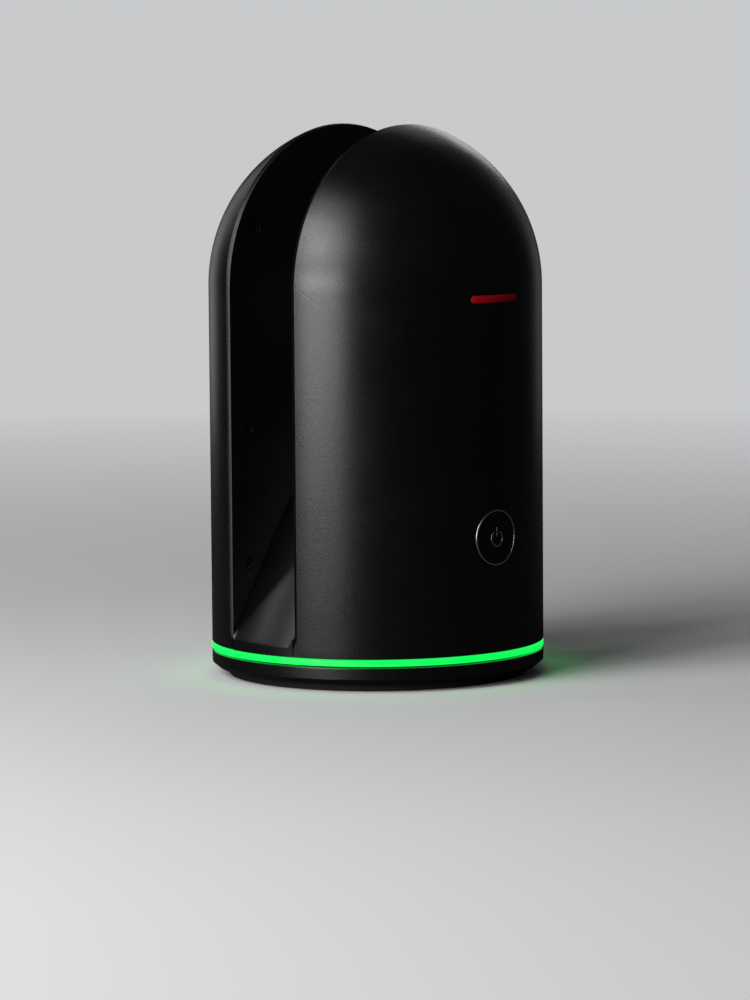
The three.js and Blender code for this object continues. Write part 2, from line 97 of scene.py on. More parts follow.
# ------------------------------------------------------------------ mesh tools
MERGE = 0.002                               # points closer than this become one


class Mesh:
    """Collects points and faces, and makes one closed mesh object in metres."""

    def __init__(self):
        self.points, self.faces, self.flat = [], [], []

    def loop(self, points):
        """Adds points and returns their indices."""
        start = len(self.points)
        self.points.extend([tuple(float(c) for c in p) for p in points])
        return list(range(start, len(self.points)))

    def face(self, ids, flat=False):
        ids = list(dict.fromkeys(ids))
        if len(ids) > 2:
            self.faces.append(ids)
            self.flat.append(flat)

    def bridge(self, first, second):
        for i in range(len(first)):
            j = (i + 1) % len(first)
            self.face([first[i], first[j], second[j], second[i]])

    def fan(self, loop, apex, flat=False):
        for i in range(len(loop)):
            self.face([loop[i], loop[(i + 1) % len(loop)], apex], flat)

    def skin(self, loops):
        """Joins each loop to the next. A loop of one point makes a fan."""
        for first, second in zip(loops, loops[1:]):
            if len(first) == 1:
                self.fan(second, first[0])
            elif len(second) == 1:
                self.fan(first, second[0])
            else:
                self.bridge(first, second)

    def fill(self, loops):
        """Flat triangles over an outline (first loop) with holes (the others)."""
        polys = [[Vector(self.points[i]) for i in loop] for loop in loops]
        ids = [i for loop in loops for i in loop]
        for triangle in tessellate_polygon(polys):
            self.face([ids[k] for k in triangle], True)

    def capped(self, loops):
        """Joins the loops and fills the two ends."""
        self.skin(loops)
        self.fill([loops[0]])
        self.fill([loops[-1]])

    def flat_ended(self, loops, start, end):
        """Joins the loops and closes the ends with flat fans about two points."""
        self.fan(loops[0], start, True)
        self.skin(loops)
        self.fan(loops[-1], end, True)

    def make(self, name, angle):
        data = bpy.data.meshes.new(name)
        data.from_pydata([tuple(c * MM for c in p) for p in self.points], [], self.faces)
        bm = bmesh.new()
        bm.from_mesh(data)
        for face, flat in zip(bm.faces, self.flat):
            face.smooth = not flat
        bmesh.ops.remove_doubles(bm, verts=bm.verts, dist=MERGE * MM)
        bmesh.ops.dissolve_degenerate(bm, edges=bm.edges, dist=MERGE * 0.2 * MM)
        loose = [v for v in bm.verts if not v.link_faces]
        bmesh.ops.delete(bm, geom=loose, context="VERTS")
        bmesh.ops.recalc_face_normals(bm, faces=bm.faces)
        bm.to_mesh(data)
        bm.free()
        data.set_sharp_from_angle(angle=math.radians(angle))
        obj = bpy.data.objects.new(name, data)
        bpy.context.scene.collection.objects.link(obj)
        normals = obj.modifiers.new("normals", "WEIGHTED_NORMAL")
        normals.keep_sharp = True
        normals.weight = 50
        return obj


def circle(radius, sides):
    turns = [2 * PI * k / sides for k in range(sides)]
    return [(radius * math.cos(t), radius * math.sin(t)) for t in turns]


def at_x(outline, x, y=0.0, z=0.0):
    """Stands a 2D outline in the YZ plane at x, about (y, z)."""
    return [(x, y + u, z + v) for u, v in outline]


def fillet(corners, steps=4):
    """Rounds a closed 2D outline of (u, v, rounding radius) corners."""
    out = []
    for i, (*point, radius) in enumerate(corners):
        p = np.array(point, float)
        if radius <= 0:
            out.append(tuple(p))
            continue
        back = np.array(corners[i - 1][:2], float) - p
        ahead = np.array(corners[(i + 1) % len(corners)][:2], float) - p
        len_back, len_ahead = np.linalg.norm(back), np.linalg.norm(ahead)
        back, ahead = back / len_back, ahead / len_ahead
        half = math.acos(max(-1, min(1, float(back @ ahead)))) / 2
        if half > PI / 2 - 1e-3:
            out.append(tuple(p))
            continue
        trim = min(radius / math.tan(half), 0.48 * len_back, 0.48 * len_ahead)
        r = trim * math.tan(half)
        mid = p + (back + ahead) / np.linalg.norm(back + ahead) * (r / math.sin(half))
        start = math.atan2(*(p + back * trim - mid)[::-1])
        end = math.atan2(*(p + ahead * trim - mid)[::-1])
        sweep = (end - start + PI) % (2 * PI) - PI
        for k in range(steps + 1):
            angle = start + sweep * k / steps
            out.append((mid[0] + r * math.cos(angle), mid[1] + r * math.sin(angle)))
    return out


def band(inner, outer, low, high, rounding):
    """Corners of a ring's rectangular section."""
    return [(inner, low, rounding), (outer, low, rounding),
            (outer, high, rounding), (inner, high, rounding)]


def along_z(y=0.0):
    return lambda a, b, c: (a, b + y, c)


def along_x(z, azimuth=0.0):
    """Places (a, b, c) with c outward along the azimuth, a across and b up from z."""
    cos, sin = math.cos(azimuth), math.sin(azimuth)
    return lambda a, b, c: (c * cos - a * sin, c * sin + a * cos, b + z)


def lathe(profile, sides=96, place=along_z()):
    """Turns a (radius, along) profile that has both ends on the axis, or closes on itself."""
    mesh = Mesh()
    loops = []
    for r, along in profile:
        outline = [(0, 0)] if r < 1e-6 else circle(r, sides)
        loops.append(mesh.loop([place(u, v, along) for u, v in outline]))
    mesh.skin(loops)
    if len(loops[0]) > 1:
        mesh.bridge(loops[-1], loops[0])
    return mesh


# A rounded rectangle's size is (half width, half height, corner radius).
def rounded(point, size):
    """Nearest point to an outside point on a rounded rectangle's edge."""
    u, v = point
    half_u, half_v, corner = size
    corner = min(corner, half_u, half_v)
    near_u = max(-(half_u - corner), min(half_u - corner, u))
    near_v = max(-(half_v - corner), min(half_v - corner, v))
    du, dv = u - near_u, v - near_v
    distance = math.hypot(du, dv) or 1.0
    return near_u + corner * du / distance, near_v + corner * dv / distance


def frame_points(a, b, nu, nv):
    """Points round a rectangle of half sizes a and b, anticlockwise from its lower left."""
    out = [(-a + 2 * a * i / nu, -b) for i in range(nu)]
    out += [(a, -b + 2 * b * j / nv) for j in range(nv)]
    out += [(a - 2 * a * i / nu, b) for i in range(nu)]
    out += [(-a, b - 2 * b * j / nv) for j in range(nv)]
    return out


def loop_normals(points):
    """Outward 2D normals of an anticlockwise loop."""
    p = np.array(points, float)
    along = np.roll(p, -1, 0) - np.roll(p, 1, 0)
    normals = np.stack([along[:, 1], -along[:, 0]], 1)
    return normals / np.maximum(np.linalg.norm(normals, axis=1), 1e-9)[:, None]


def eased(outer, inner, steps):
    """Outlines from outer to inner, drawing closer together on the way."""
    for s in range(steps + 1):
        t = s / steps
        t = t * (2 - t)
        yield [(o[0] + (i[0] - o[0]) * t, o[1] + (i[1] - o[1]) * t)
               for o, i in zip(outer, inner)]


class Sheet(Mesh):
    """A flat mesh in (u, v) that is laid on a surface and given thickness."""

    def __init__(self):
        super().__init__()
        self.edges = []

    def ring(self, outer, inner, steps):
        """Faces between two outlines with the same number of points."""
        loops = [self.loop(points) for points in eased(outer, inner, steps)]
        self.skin(loops)
        return loops[0], loops[-1]

    def grid(self, a, b, nu, nv):
        ids = [self.loop([(-a + 2 * a * i / nu, -b + 2 * b * j / nv) for i in range(nu + 1)])
               for j in range(nv + 1)]
        for j in range(nv):
            for i in range(nu):
                self.face([ids[j][i], ids[j][i + 1], ids[j + 1][i + 1], ids[j + 1][i]])

    def solid(self, place, thick, edge=0.15, steps=3):
        """The mesh of place(u, v, depth). Its edges are rounded over by edge on both sides."""
        mesh = Mesh()
        top = mesh.loop([place(u, v, 0.0) for u, v in self.points])
        low = mesh.loop([place(u, v, thick) for u, v in self.points])
        for face in self.faces:
            mesh.face([top[i] for i in face])
            mesh.face([low[i] for i in reversed(face)])
        turns = [PI / 2 * s / steps for s in range(1, steps + 1)]
        # (distance out, depth)
        stations = [(edge * math.sin(t), edge * (1 - math.cos(t))) for t in turns]
        stations += [(out, thick - depth) for out, depth in reversed(stations)]
        for ids in self.edges:
            points = [self.points[i] for i in ids]
            rim = list(zip(points, loop_normals(points)))
            loops = [mesh.loop([place(p[0] + n[0] * out, p[1] + n[1] * out, depth)
                                for p, n in rim]) for out, depth in stations]
            mesh.skin([[top[i] for i in ids]] + loops + [[low[i] for i in ids]])
        return mesh


def on_cylinder(azimuth, z, radius=HEAD_R):
    """Lays (u, v) on a cylinder round Z, about a point at azimuth and z."""
    cos, sin = math.cos(azimuth), math.sin(azimuth)

    def place(u, v, depth):
        r = radius - depth
        x = math.sqrt(max(r * r - u * u, 0.0))
        return (x * cos - u * sin, x * sin + u * cos, z + v)

    return place


def rounded_sheet(size, nu, nv):
    """A rounded rectangle: a grid with a ring of faces round it."""
    half_u, half_v, corner = size
    margin, inset = 3.0, corner * 1.2
    sheet = Sheet()
    outside = frame_points(half_u + margin, half_v + margin, nu, nv)
    core = (half_u - inset, half_v - inset, nu, nv)
    rim, _ = sheet.ring([rounded(p, size) for p in outside], frame_points(*core), 4)
    sheet.grid(*core)
    sheet.edges.append(rim)
    return sheet


def disc_sheet(radius, sides, rings):
    sheet = Sheet()
    loops = [sheet.loop(circle(radius * j / rings, sides)) for j in range(rings, 0, -1)]
    sheet.skin(loops + [sheet.loop([(0.0, 0.0)])])
    sheet.edges.append(loops[0])
    return sheet


def framed_sheet(outer, inner, steps):
    """A sheet with an outer edge and one hole."""
    sheet = Sheet()
    rim, hole = sheet.ring(outer, inner, steps)
    sheet.edges += [rim, hole[::-1]]
    return sheet


def stroke_sheet(centre_line, half, cap_steps=8):
    """A line of even width with round ends."""
    line = np.array(centre_line, float)
    along = np.gradient(line, axis=0)
    along /= np.linalg.norm(along, axis=1)[:, None]
    normals = np.stack([-along[:, 1], along[:, 0]], 1)
    sheet = Sheet()
    left, mid, right = (sheet.loop(line + normals * side) for side in (half, 0, -half))
    for a, b in ((left, mid), (mid, right)):
        for i in range(len(line) - 1):
            sheet.face([a[i], b[i], b[i + 1], a[i + 1]])

    def cap(at, normal, middle, start, end):
        """A half disc whose arc starts along the normal."""
        first = math.atan2(normal[1], normal[0])
        turns = [first + PI * k / cap_steps for k in range(1, cap_steps)]
        arc = sheet.loop([(at[0] + half * math.cos(t), at[1] + half * math.sin(t))
                          for t in turns])
        chain = [start] + arc + [end]
        for a, b in zip(chain, chain[1:]):
            sheet.face([middle, a, b])
        return arc

    end = cap(line[-1], -normals[-1], mid[-1], right[-1], left[-1])
    start = cap(line[0], normals[0], mid[0], left[0], right[0])
    sheet.edges.append(right + end + left[::-1] + start)
    return sheet


# ------------------------------------------------------------------ materials
class Shader:
    """A material's node tree, with short ways to add nodes."""

    def __init__(self, name):
        self.mat = bpy.data.materials.new(name)
        self.mat.use_nodes = True
        self.tree = self.mat.node_tree
        self.bsdf = next(n for n in self.tree.nodes if n.type == "BSDF_PRINCIPLED")
        self.coord = self.add("ShaderNodeTexCoord").outputs["Object"]

    def feed(self, node, inputs):
        """Links or sets a node's inputs. Colours are given as RGB."""
        for key, value in inputs.items():
            socket = node.inputs[key]
            if isinstance(value, bpy.types.NodeSocket):
                self.tree.links.new(value, socket)
            else:
                socket.default_value = (*value, 1) if socket.type == "RGBA" else value

    def add(self, kind, inputs=None, **settings):
        node = self.tree.nodes.new(kind)
        for key, value in settings.items():
            setattr(node, key, value)
        self.feed(node, inputs or {})
        return node

    def scaled(self, scale):
        node = self.add("ShaderNodeMapping", {"Scale": scale, "Vector": self.coord})
        return node.outputs["Vector"]

    def noise(self, scale, detail=2.0, rough=0.5, vector=None, distort=0.0):
        return self.add("ShaderNodeTexNoise", {
            "Vector": vector or self.coord, "Scale": scale, "Detail": detail,
            "Roughness": rough, "Distortion": distort}).outputs["Fac"]

    def voronoi(self, scale, feature="F1", vector=None):
        inputs = {"Vector": vector or self.coord, "Scale": scale}
        return self.add("ShaderNodeTexVoronoi", inputs, feature=feature).outputs["Distance"]

    def remap(self, value, span, to=(0.0, 1.0)):
        return self.add("ShaderNodeMapRange", {
            "Value": value, "From Min": span[0], "From Max": span[1],
            "To Min": to[0], "To Max": to[1]}, clamp=True).outputs["Result"]

    def math(self, operation, a, b):
        return self.add("ShaderNodeMath", {0: a, 1: b}, operation=operation).outputs[0]

    def blend(self, a, b, share):
        """Adds a and b, where a has the given share."""
        a = self.math("MULTIPLY", a, share)
        return self.math("ADD", a, self.math("MULTIPLY", b, 1 - share))

    def mix(self, factor, a, b, mode="MIX"):
        return self.add("ShaderNodeMix", {0: factor, 6: a, 7: b},
                        data_type="RGBA", blend_type=mode).outputs[2]

    def bump(self, height, distance):
        return self.add("ShaderNodeBump", {
            "Height": height, "Distance": distance, "Strength": 1.0}).outputs["Normal"]


def tinted(colour, gain, lift=0.0):
    return tuple(c * gain + lift for c in colour)


def plastic(name, base, tint, rough, grain, depth, speck=0.0, wear=0.0,
            wear_colour=(0.08, 0.08, 0.08), coat=0.0, specular=0.5):
    """Moulded or painted surface: slow colour drift, fine grain in colour, roughness and
    height, light wear on edges."""
    n = Shader(name)
    drift = n.noise(scale=60.0, detail=3.0, rough=0.55)
    fine = n.noise(scale=grain, rough=0.6)
    cells = n.voronoi(scale=grain * 1.3)
    colour = n.mix(n.remap(drift, span=(0.35, 0.65)), base, tint)
    if speck:
        dots = n.noise(scale=grain * 1.7, detail=1.0)
        dots = n.remap(dots, span=(0.60, 0.72), to=(0.0, speck))
        colour = n.mix(dots, colour, wear_colour)
    if wear:
        patch = n.remap(n.noise(scale=240.0, detail=4.0, rough=0.7), span=(0.45, 0.65))
        edges = n.add("ShaderNodeNewGeometry").outputs["Pointiness"]
        edges = n.remap(edges, span=(0.52, 0.60))
        mask = n.math("MULTIPLY", edges, n.math("MULTIPLY", patch, wear))
        colour = n.mix(mask, colour, wear_colour)
    n.feed(n.bsdf, {
        "Base Color": colour,
        "Roughness": n.remap(n.blend(drift, fine, share=0.45), span=(0.35, 0.65), to=rough),
        "Normal": n.bump(n.blend(fine, cells, share=0.6), distance=depth),
        "Specular IOR Level": specular})
    if coat:
        n.feed(n.bsdf, {"Coat Weight": coat, "Coat Roughness": 0.1})
    return n.mat


def gloss(name, base, rough, scratched):
    """Polished plastic with faint smears and hair-fine scratches."""
    n = Shader(name)
    smear = n.noise(scale=90.0, detail=5.0, rough=0.62, distort=0.6)
    scratch = n.noise(scale=1.0, detail=3.0, vector=n.scaled((400.0, 5200.0, 900.0)))
    scratch = n.remap(scratch, span=(0.62, 0.70))
    smooth = n.remap(smear, span=(0.4, 0.7), to=rough)
    n.feed(n.bsdf, {
        "Roughness": n.math("ADD", smooth, n.math("MULTIPLY", scratch, scratched)),
        "Base Color": n.mix(n.remap(smear, span=(0.3, 0.7)), base,
                            tinted(base, gain=1.7, lift=0.001)),
        "Normal": n.bump(n.noise(scale=220.0), distance=0.000004)})
    return n.mat


def metal(name, base, tint, rough, stretch=(1.0, 1.0, 1.0), scale=900.0, depth=0.000004,
          stain=0.25):
    """Machined or cast metal: tool marks along one direction, stains, uneven polish."""
    n = Shader(name)
    lines = n.noise(scale=1.0, detail=3.0, rough=0.6, vector=n.scaled(tinted(stretch, scale)))
    blot = n.noise(scale=110.0, detail=4.0, rough=0.6)
    colour = n.mix(n.remap(lines, span=(0.35, 0.65)), base, tint)
    stains = n.math("MULTIPLY", n.remap(blot, span=(0.5, 0.75)), stain)
    n.feed(n.bsdf, {
        "Base Color": n.mix(stains, colour, tinted(base, gain=0.55)),
        "Roughness": n.remap(n.blend(lines, blot, share=0.6), span=(0.35, 0.65), to=rough),
        "Metallic": 1.0,
        "Normal": n.bump(lines, distance=depth)})
    return n.mat


def board_material(name):
    """Green circuit board with traces and gilt pads."""
    n = Shader(name)
    grid = n.voronoi(scale=520.0, feature="DISTANCE_TO_EDGE", vector=n.scaled((1.0, 1.0, 1.0)))
    trace = n.remap(grid, span=(0.05, 0.09), to=(1.0, 0.0))
    pad = n.remap(n.voronoi(scale=300.0), span=(0.10, 0.14), to=(1.0, 0.0))
    weave = n.noise(scale=2400.0, detail=1.0)
    dark, green = (0.004, 0.045, 0.018), (0.006, 0.065, 0.026)
    trace_colour, pad_colour = (0.012, 0.12, 0.045), (0.55, 0.42, 0.16)
    colour = n.mix(n.remap(weave, span=(0.4, 0.6)), dark, green)
    colour = n.mix(n.math("MULTIPLY", trace, 0.6), colour, trace_colour)
    height = n.math("ADD", trace, n.math("MULTIPLY", weave, 0.3))
    n.feed(n.bsdf, {
        "Base Color": n.mix(pad, colour, pad_colour),
        "Metallic": n.math("MULTIPLY", pad, 0.9),
        "Roughness": n.remap(weave, span=(0.3, 0.7), to=(0.30, 0.46)),
        "Normal": n.bump(height, distance=0.00003)})
    return n.mat


def glass_material(name, base, tint):
    """Coated optical glass over a black barrel: dark and smooth, with a drifting tint."""
    n = Shader(name)
    facing = n.add("ShaderNodeLayerWeight", {"Blend": 0.45}).outputs["Facing"]
    facing = n.math("ADD", facing, n.math("MULTIPLY", n.noise(scale=260.0), 0.3))
    smears = n.noise(scale=300.0, detail=4.0, rough=0.6)
    n.feed(n.bsdf, {
        "Base Color": n.mix(n.remap(facing, span=(0.2, 1.0)), base, tint),
        "Roughness": n.remap(smears, span=(0.4, 0.7), to=(0.02, 0.07)),
        "IOR": 1.62,
        "Coat Weight": 1.0,
        "Coat Roughness": 0.03,
        "Coat Tint": (0.75, 0.85, 1.0),
        "Normal": n.bump(n.noise(scale=500.0), distance=0.0000006)})
    return n.mat


def light_material(name, colour, strength, glow):
    """Lit milky plastic, a little uneven. The camera doesn't see the added glow."""
    n = Shader(name)
    n.feed(n.bsdf, {
        "Base Color": n.mix(n.noise(scale=120.0), tinted(colour, gain=0.5),
                            tinted(colour, gain=0.7)),
        "Roughness": n.remap(n.noise(scale=900.0), span=(0.3, 0.7), to=(0.28, 0.42)),
        "Emission Color": colour})
    seen = n.add("ShaderNodeLightPath").outputs["Is Camera Ray"]
    uneven = n.remap(n.noise(scale=150.0), span=(0.3, 0.7),
                     to=(strength * 0.97, strength * 1.03))
    unseen = n.math("MULTIPLY", n.math("SUBTRACT", 1.0, seen), glow)
    n.feed(n.bsdf, {
        "Emission Strength": n.math("ADD", uneven, unseen),
        "Normal": n.bump(n.noise(scale=1500.0), distance=0.000006)})
    return n.mat


MAT = {
    "shell": plastic(
        "satin_black_shell", base=(0.0012, 0.0012, 0.00125), tint=(0.0021, 0.0021, 0.0022),
        rough=(0.25, 0.32), grain=2300.0, depth=0.000020, speck=0.22, wear=0.30,
        wear_colour=(0.035, 0.035, 0.036), specular=0.62),
    "panel": plastic(
        "matt_black_panel", base=(0.0020, 0.0020, 0.0021), tint=(0.0032, 0.0032, 0.0034),
        rough=(0.38, 0.48), grain=2600.0, depth=0.000018, speck=0.12, wear=0.25,
        wear_colour=(0.03, 0.03, 0.032)),
    # Painted shade: the slot's floor is the shell's satin black made darker still, so that only
    # the side light brightens the ramp and the left lobe's shadow on it stays dark; the black
    # plastic itself is real.
    "ramp": plastic(
        "satin_black_ramp_with_painted_shade", base=(0.0005, 0.0005, 0.00052), tint=(0.0009, 0.0009, 0.00092),
        rough=(0.29, 0.34), grain=2300.0, depth=0.000018, speck=0.15, wear=0.25,
        wear_colour=(0.03, 0.03, 0.032), specular=0.62),
    "inner": plastic(
        "moulded_black_inside", base=(0.010, 0.010, 0.011), tint=(0.016, 0.016, 0.017),
        rough=(0.55, 0.7), grain=1500.0, depth=0.00003),
    "gloss": gloss(
        "gloss_black", base=(0.0028, 0.0028, 0.003), rough=(0.06, 0.13), scratched=0.10),
    "rubber": plastic(
        "foot_rubber", base=(0.012, 0.012, 0.012), tint=(0.02, 0.02, 0.019),
        rough=(0.72, 0.88), grain=1400.0, depth=0.00007, speck=0.3,
        wear_colour=(0.06, 0.058, 0.055), specular=0.3),
    "green": light_material(
        "green_light_guide", colour=(0.0070, 1.0, 0.105), strength=1.0, glow=1.0),
    "cast": metal(
        "cast_alloy", base=(0.30, 0.31, 0.32), tint=(0.40, 0.41, 0.42), rough=(0.38, 0.52),
        scale=1300.0, depth=0.00002, stain=0.3),
    "steel": metal(
        "turned_steel", base=(0.50, 0.50, 0.51), tint=(0.62, 0.62, 0.63), rough=(0.16, 0.30),
        stretch=(0.3, 0.3, 6.0)),
    "dark_steel": metal(
        "blackened_screw_steel", base=(0.045, 0.045, 0.047), tint=(0.07, 0.07, 0.072),
        rough=(0.34, 0.48), stretch=(1.0, 1.0, 4.0), scale=1500.0),
    "brass": metal(
        "cut_brass", base=(0.52, 0.36, 0.13), tint=(0.64, 0.46, 0.19), rough=(0.22, 0.38),
        stretch=(0.4, 0.4, 5.0)),
    "copper": metal(
        "rotor_copper", base=(0.48, 0.20, 0.10), tint=(0.62, 0.29, 0.16), rough=(0.28, 0.42),
        stretch=(5.0, 0.4, 0.4)),
    "board": board_material("circuit_board"),
    "grey": plastic(
        "grey_plastic", base=(0.040, 0.042, 0.046), tint=(0.056, 0.058, 0.062),
        rough=(0.42, 0.56), grain=1500.0, depth=0.00003, speck=0.15, wear=0.3,
        wear_colour=(0.15, 0.15, 0.16)),
    "battery": plastic(
        "battery_case", base=(0.013, 0.013, 0.014), tint=(0.019, 0.019, 0.02),
        rough=(0.40, 0.55), grain=1200.0, depth=0.00004, speck=0.12, wear=0.5,
        wear_colour=(0.10, 0.10, 0.10)),
    "silver": metal(
        "button_silver", base=(0.66, 0.66, 0.67), tint=(0.76, 0.76, 0.77), rough=(0.26, 0.38),
        stretch=(0.5, 3.0, 3.0), scale=1400.0, depth=0.000003),
    "mirror": metal(
        "mirror_silver", base=(0.86, 0.84, 0.80), tint=(0.90, 0.88, 0.84),
        rough=(0.015, 0.035), scale=300.0, depth=0.0000002, stain=0.05),
    "lens": glass_material(
        "coated_lens", base=(0.002, 0.003, 0.006), tint=(0.02, 0.035, 0.09)),
    "receiver": glass_material(
        "receiver_coating", base=(0.006, 0.004, 0.012), tint=(0.06, 0.03, 0.12)),
    "encoder": glass_material(
        "encoder_glass", base=(0.03, 0.03, 0.03), tint=(0.09, 0.09, 0.10)),
    "germanium": glass_material(
        "thermal_window", base=(0.03, 0.024, 0.018), tint=(0.12, 0.09, 0.06)),
    "flash": plastic(
        "flash_diffuser", base=(0.62, 0.58, 0.36), tint=(0.72, 0.68, 0.46),
        rough=(0.2, 0.34), grain=900.0, depth=0.00005, coat=0.6),
    "red": plastic(
        "red_print", base=(0.80, 0.004, 0.010), tint=(0.90, 0.007, 0.014),
        rough=(0.34, 0.46), grain=2600.0, depth=0.00001),
}


def paint(obj, material):
    obj.data.materials.clear()
    obj.data.materials.append(MAT[material])


def add(mesh, name, material, slot, body="head", angle=38.0, node=None):
    """Makes a piece. Edges sharper than angle (degrees) stay sharp."""
    obj = mesh.make(name, angle)
    paint(obj, material)
    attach(obj, body)
    if node:
        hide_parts(node)


def fit(mesh, node, *args, **options):
    """Makes the fine piece that replaces a CAD node."""
    add(mesh, node + "_fine", *args, node=node, **options)


# ------------------------------------------------------------------ fixed base
base_lo, base_hi = extent("base_housing")
base_z, collar_z = base_lo[2], base_hi[2]
BASE_TOP, WELL_Z = 7.4, 4.6
profile = [                                 # radius, z, rounding
    (11.0, base_z, 0.2), (HEAD_R - 1.8, base_z, 0.25), (HEAD_R, base_z + 1.5, 0.35),
    (HEAD_R, BASE_TOP, 0.3), (46.0, BASE_TOP, 0.2), (46.0, WELL_Z, 0.3),
    (14.0, WELL_Z, 0.5), (14.0, collar_z, 0.3), (11.0, collar_z, 0.3)]
fit(lathe(fillet(profile, 5), 240), "base_housing", "shell", "shell_black", "base")

# Foot pad with four round grooves in its underside.
pad_top = extent("foot_pad")[1][2]
PAD_INNER, PAD_OUTER = 30.4, 45.0
profile = [(PAD_INNER, 0.0, 0.3)]
for groove in (33.2, 36.4, 39.6, 42.2):
    profile += [(groove + across, z, 0.12)
                for across, z in ((-0.55, 0.0), (-0.3, 0.45), (0.3, 0.45), (0.55, 0.0))]
profile += [(PAD_OUTER, 0.0, 0.4), (PAD_OUTER, pad_top, 0.15), (PAD_INNER, pad_top, 0.15)]
fit(lathe(fillet(profile, 3), 192), "foot_pad", "rubber", "foot_rubber", "base")


def tripod_socket():
    """Threaded insert: the bore carries a real helical thread."""
    socket_lo, socket_hi = extent("tripod_socket")
    low, high = socket_lo[2], socket_hi[2]
    bore, pitch, thread_depth = 7.94, 2.309, 0.45
    bore_top = 16.0
    thread_low, thread_high = low + 0.35, bore_top - 0.8
    sides, rows = 96, 150
    mesh = Mesh()

    def ring(radius, z):
        return mesh.loop([(x, y, z) for x, y in circle(radius, sides)])

    outer = fillet([(10.9, high, 0.0), (10.9, low + 0.45, 0.2), (13.5, low + 0.45, 0.12),
                    (13.5, low, 0.12), (bore + 0.5, low, 0.0)], 3)
    loops = [mesh.loop([(0, 0, high)])]
    loops += [ring(radius, z) for radius, z in [(10.6, high)] + outer[1:]]
    for j in range(rows + 1):
        z = thread_low + (thread_high - thread_low) * j / rows
        fade = min(1.0, j / 14.0, (rows - j) / 10.0)
        points = []
        for k in range(sides):
            angle = 2 * PI * k / sides
            phase = ((z - low) / pitch - angle / (2 * PI)) % 1.0
            tooth = min(1.0, max(0.0, (abs(phase - 0.5) * 2 - 0.12) / 0.76))
            r = bore + thread_depth * (1 - tooth) * fade
            points.append((r * math.cos(angle), r * math.sin(angle), z))
        loops.append(mesh.loop(points))
    loops.append(ring(bore, bore_top))
    loops.append(mesh.loop([(0, 0, bore_top)]))
    mesh.skin(loops)
    return mesh


fit(tripod_socket(), "tripod_socket", "steel", "steel", "base", angle=50)

# ------------------------------------------------------------------ green light ring
RING_GAP, RING_INNER = 0.19, 47.2
ring_lo, ring_hi = extent("light_ring")
low, high = ring_lo[2] + RING_GAP, ring_hi[2] - RING_GAP
profile = [(RING_INNER, low, 0.1), (HEAD_R, low, 0.22), (HEAD_R, high, 0.22),
           (RING_INNER, high, 0.1)]
fit(lathe(fillet(profile), 240), "light_ring", "green", "light_green")

# ------------------------------------------------------------------ outer shells
WALL_STEPS, ARCH_STEPS = 74, 104            # steps along the wall's section, and over the dome
OUTER_STEP = math.acos(LIP_X / HEAD_R) / WALL_STEPS
INNER_STEP = math.acos(EDGE_X / INNER_R) / WALL_STEPS
# Rounded outer edge of a window: (growth of the outline, depth).
WINDOW_EDGE = [(0.22, 0.0), (0.11, 0.03), (0.03, 0.11), (0.0, 0.22)]


def shell_section():
    """(x, distance from the X axis) from the outer wall's side, round the rim at the slot,
    and back along the inner wall."""
    def arc(radius, step, count):
        return [(radius * math.cos(step * k), radius * math.sin(step * k))
                for k in range(count)]

    outer = arc(HEAD_R, OUTER_STEP, WALL_STEPS)
    inner = arc(INNER_R, INNER_STEP, WALL_STEPS + 1)
    rim = fillet([(*outer[-1], 0), (LIP_X, LIP_RHO, 0.16), (EDGE_X, lip_rho(EDGE_X), 0.09),
                  (*inner[-1], 0)], 5)[1:-1]
    return outer + rim + inner[::-1]


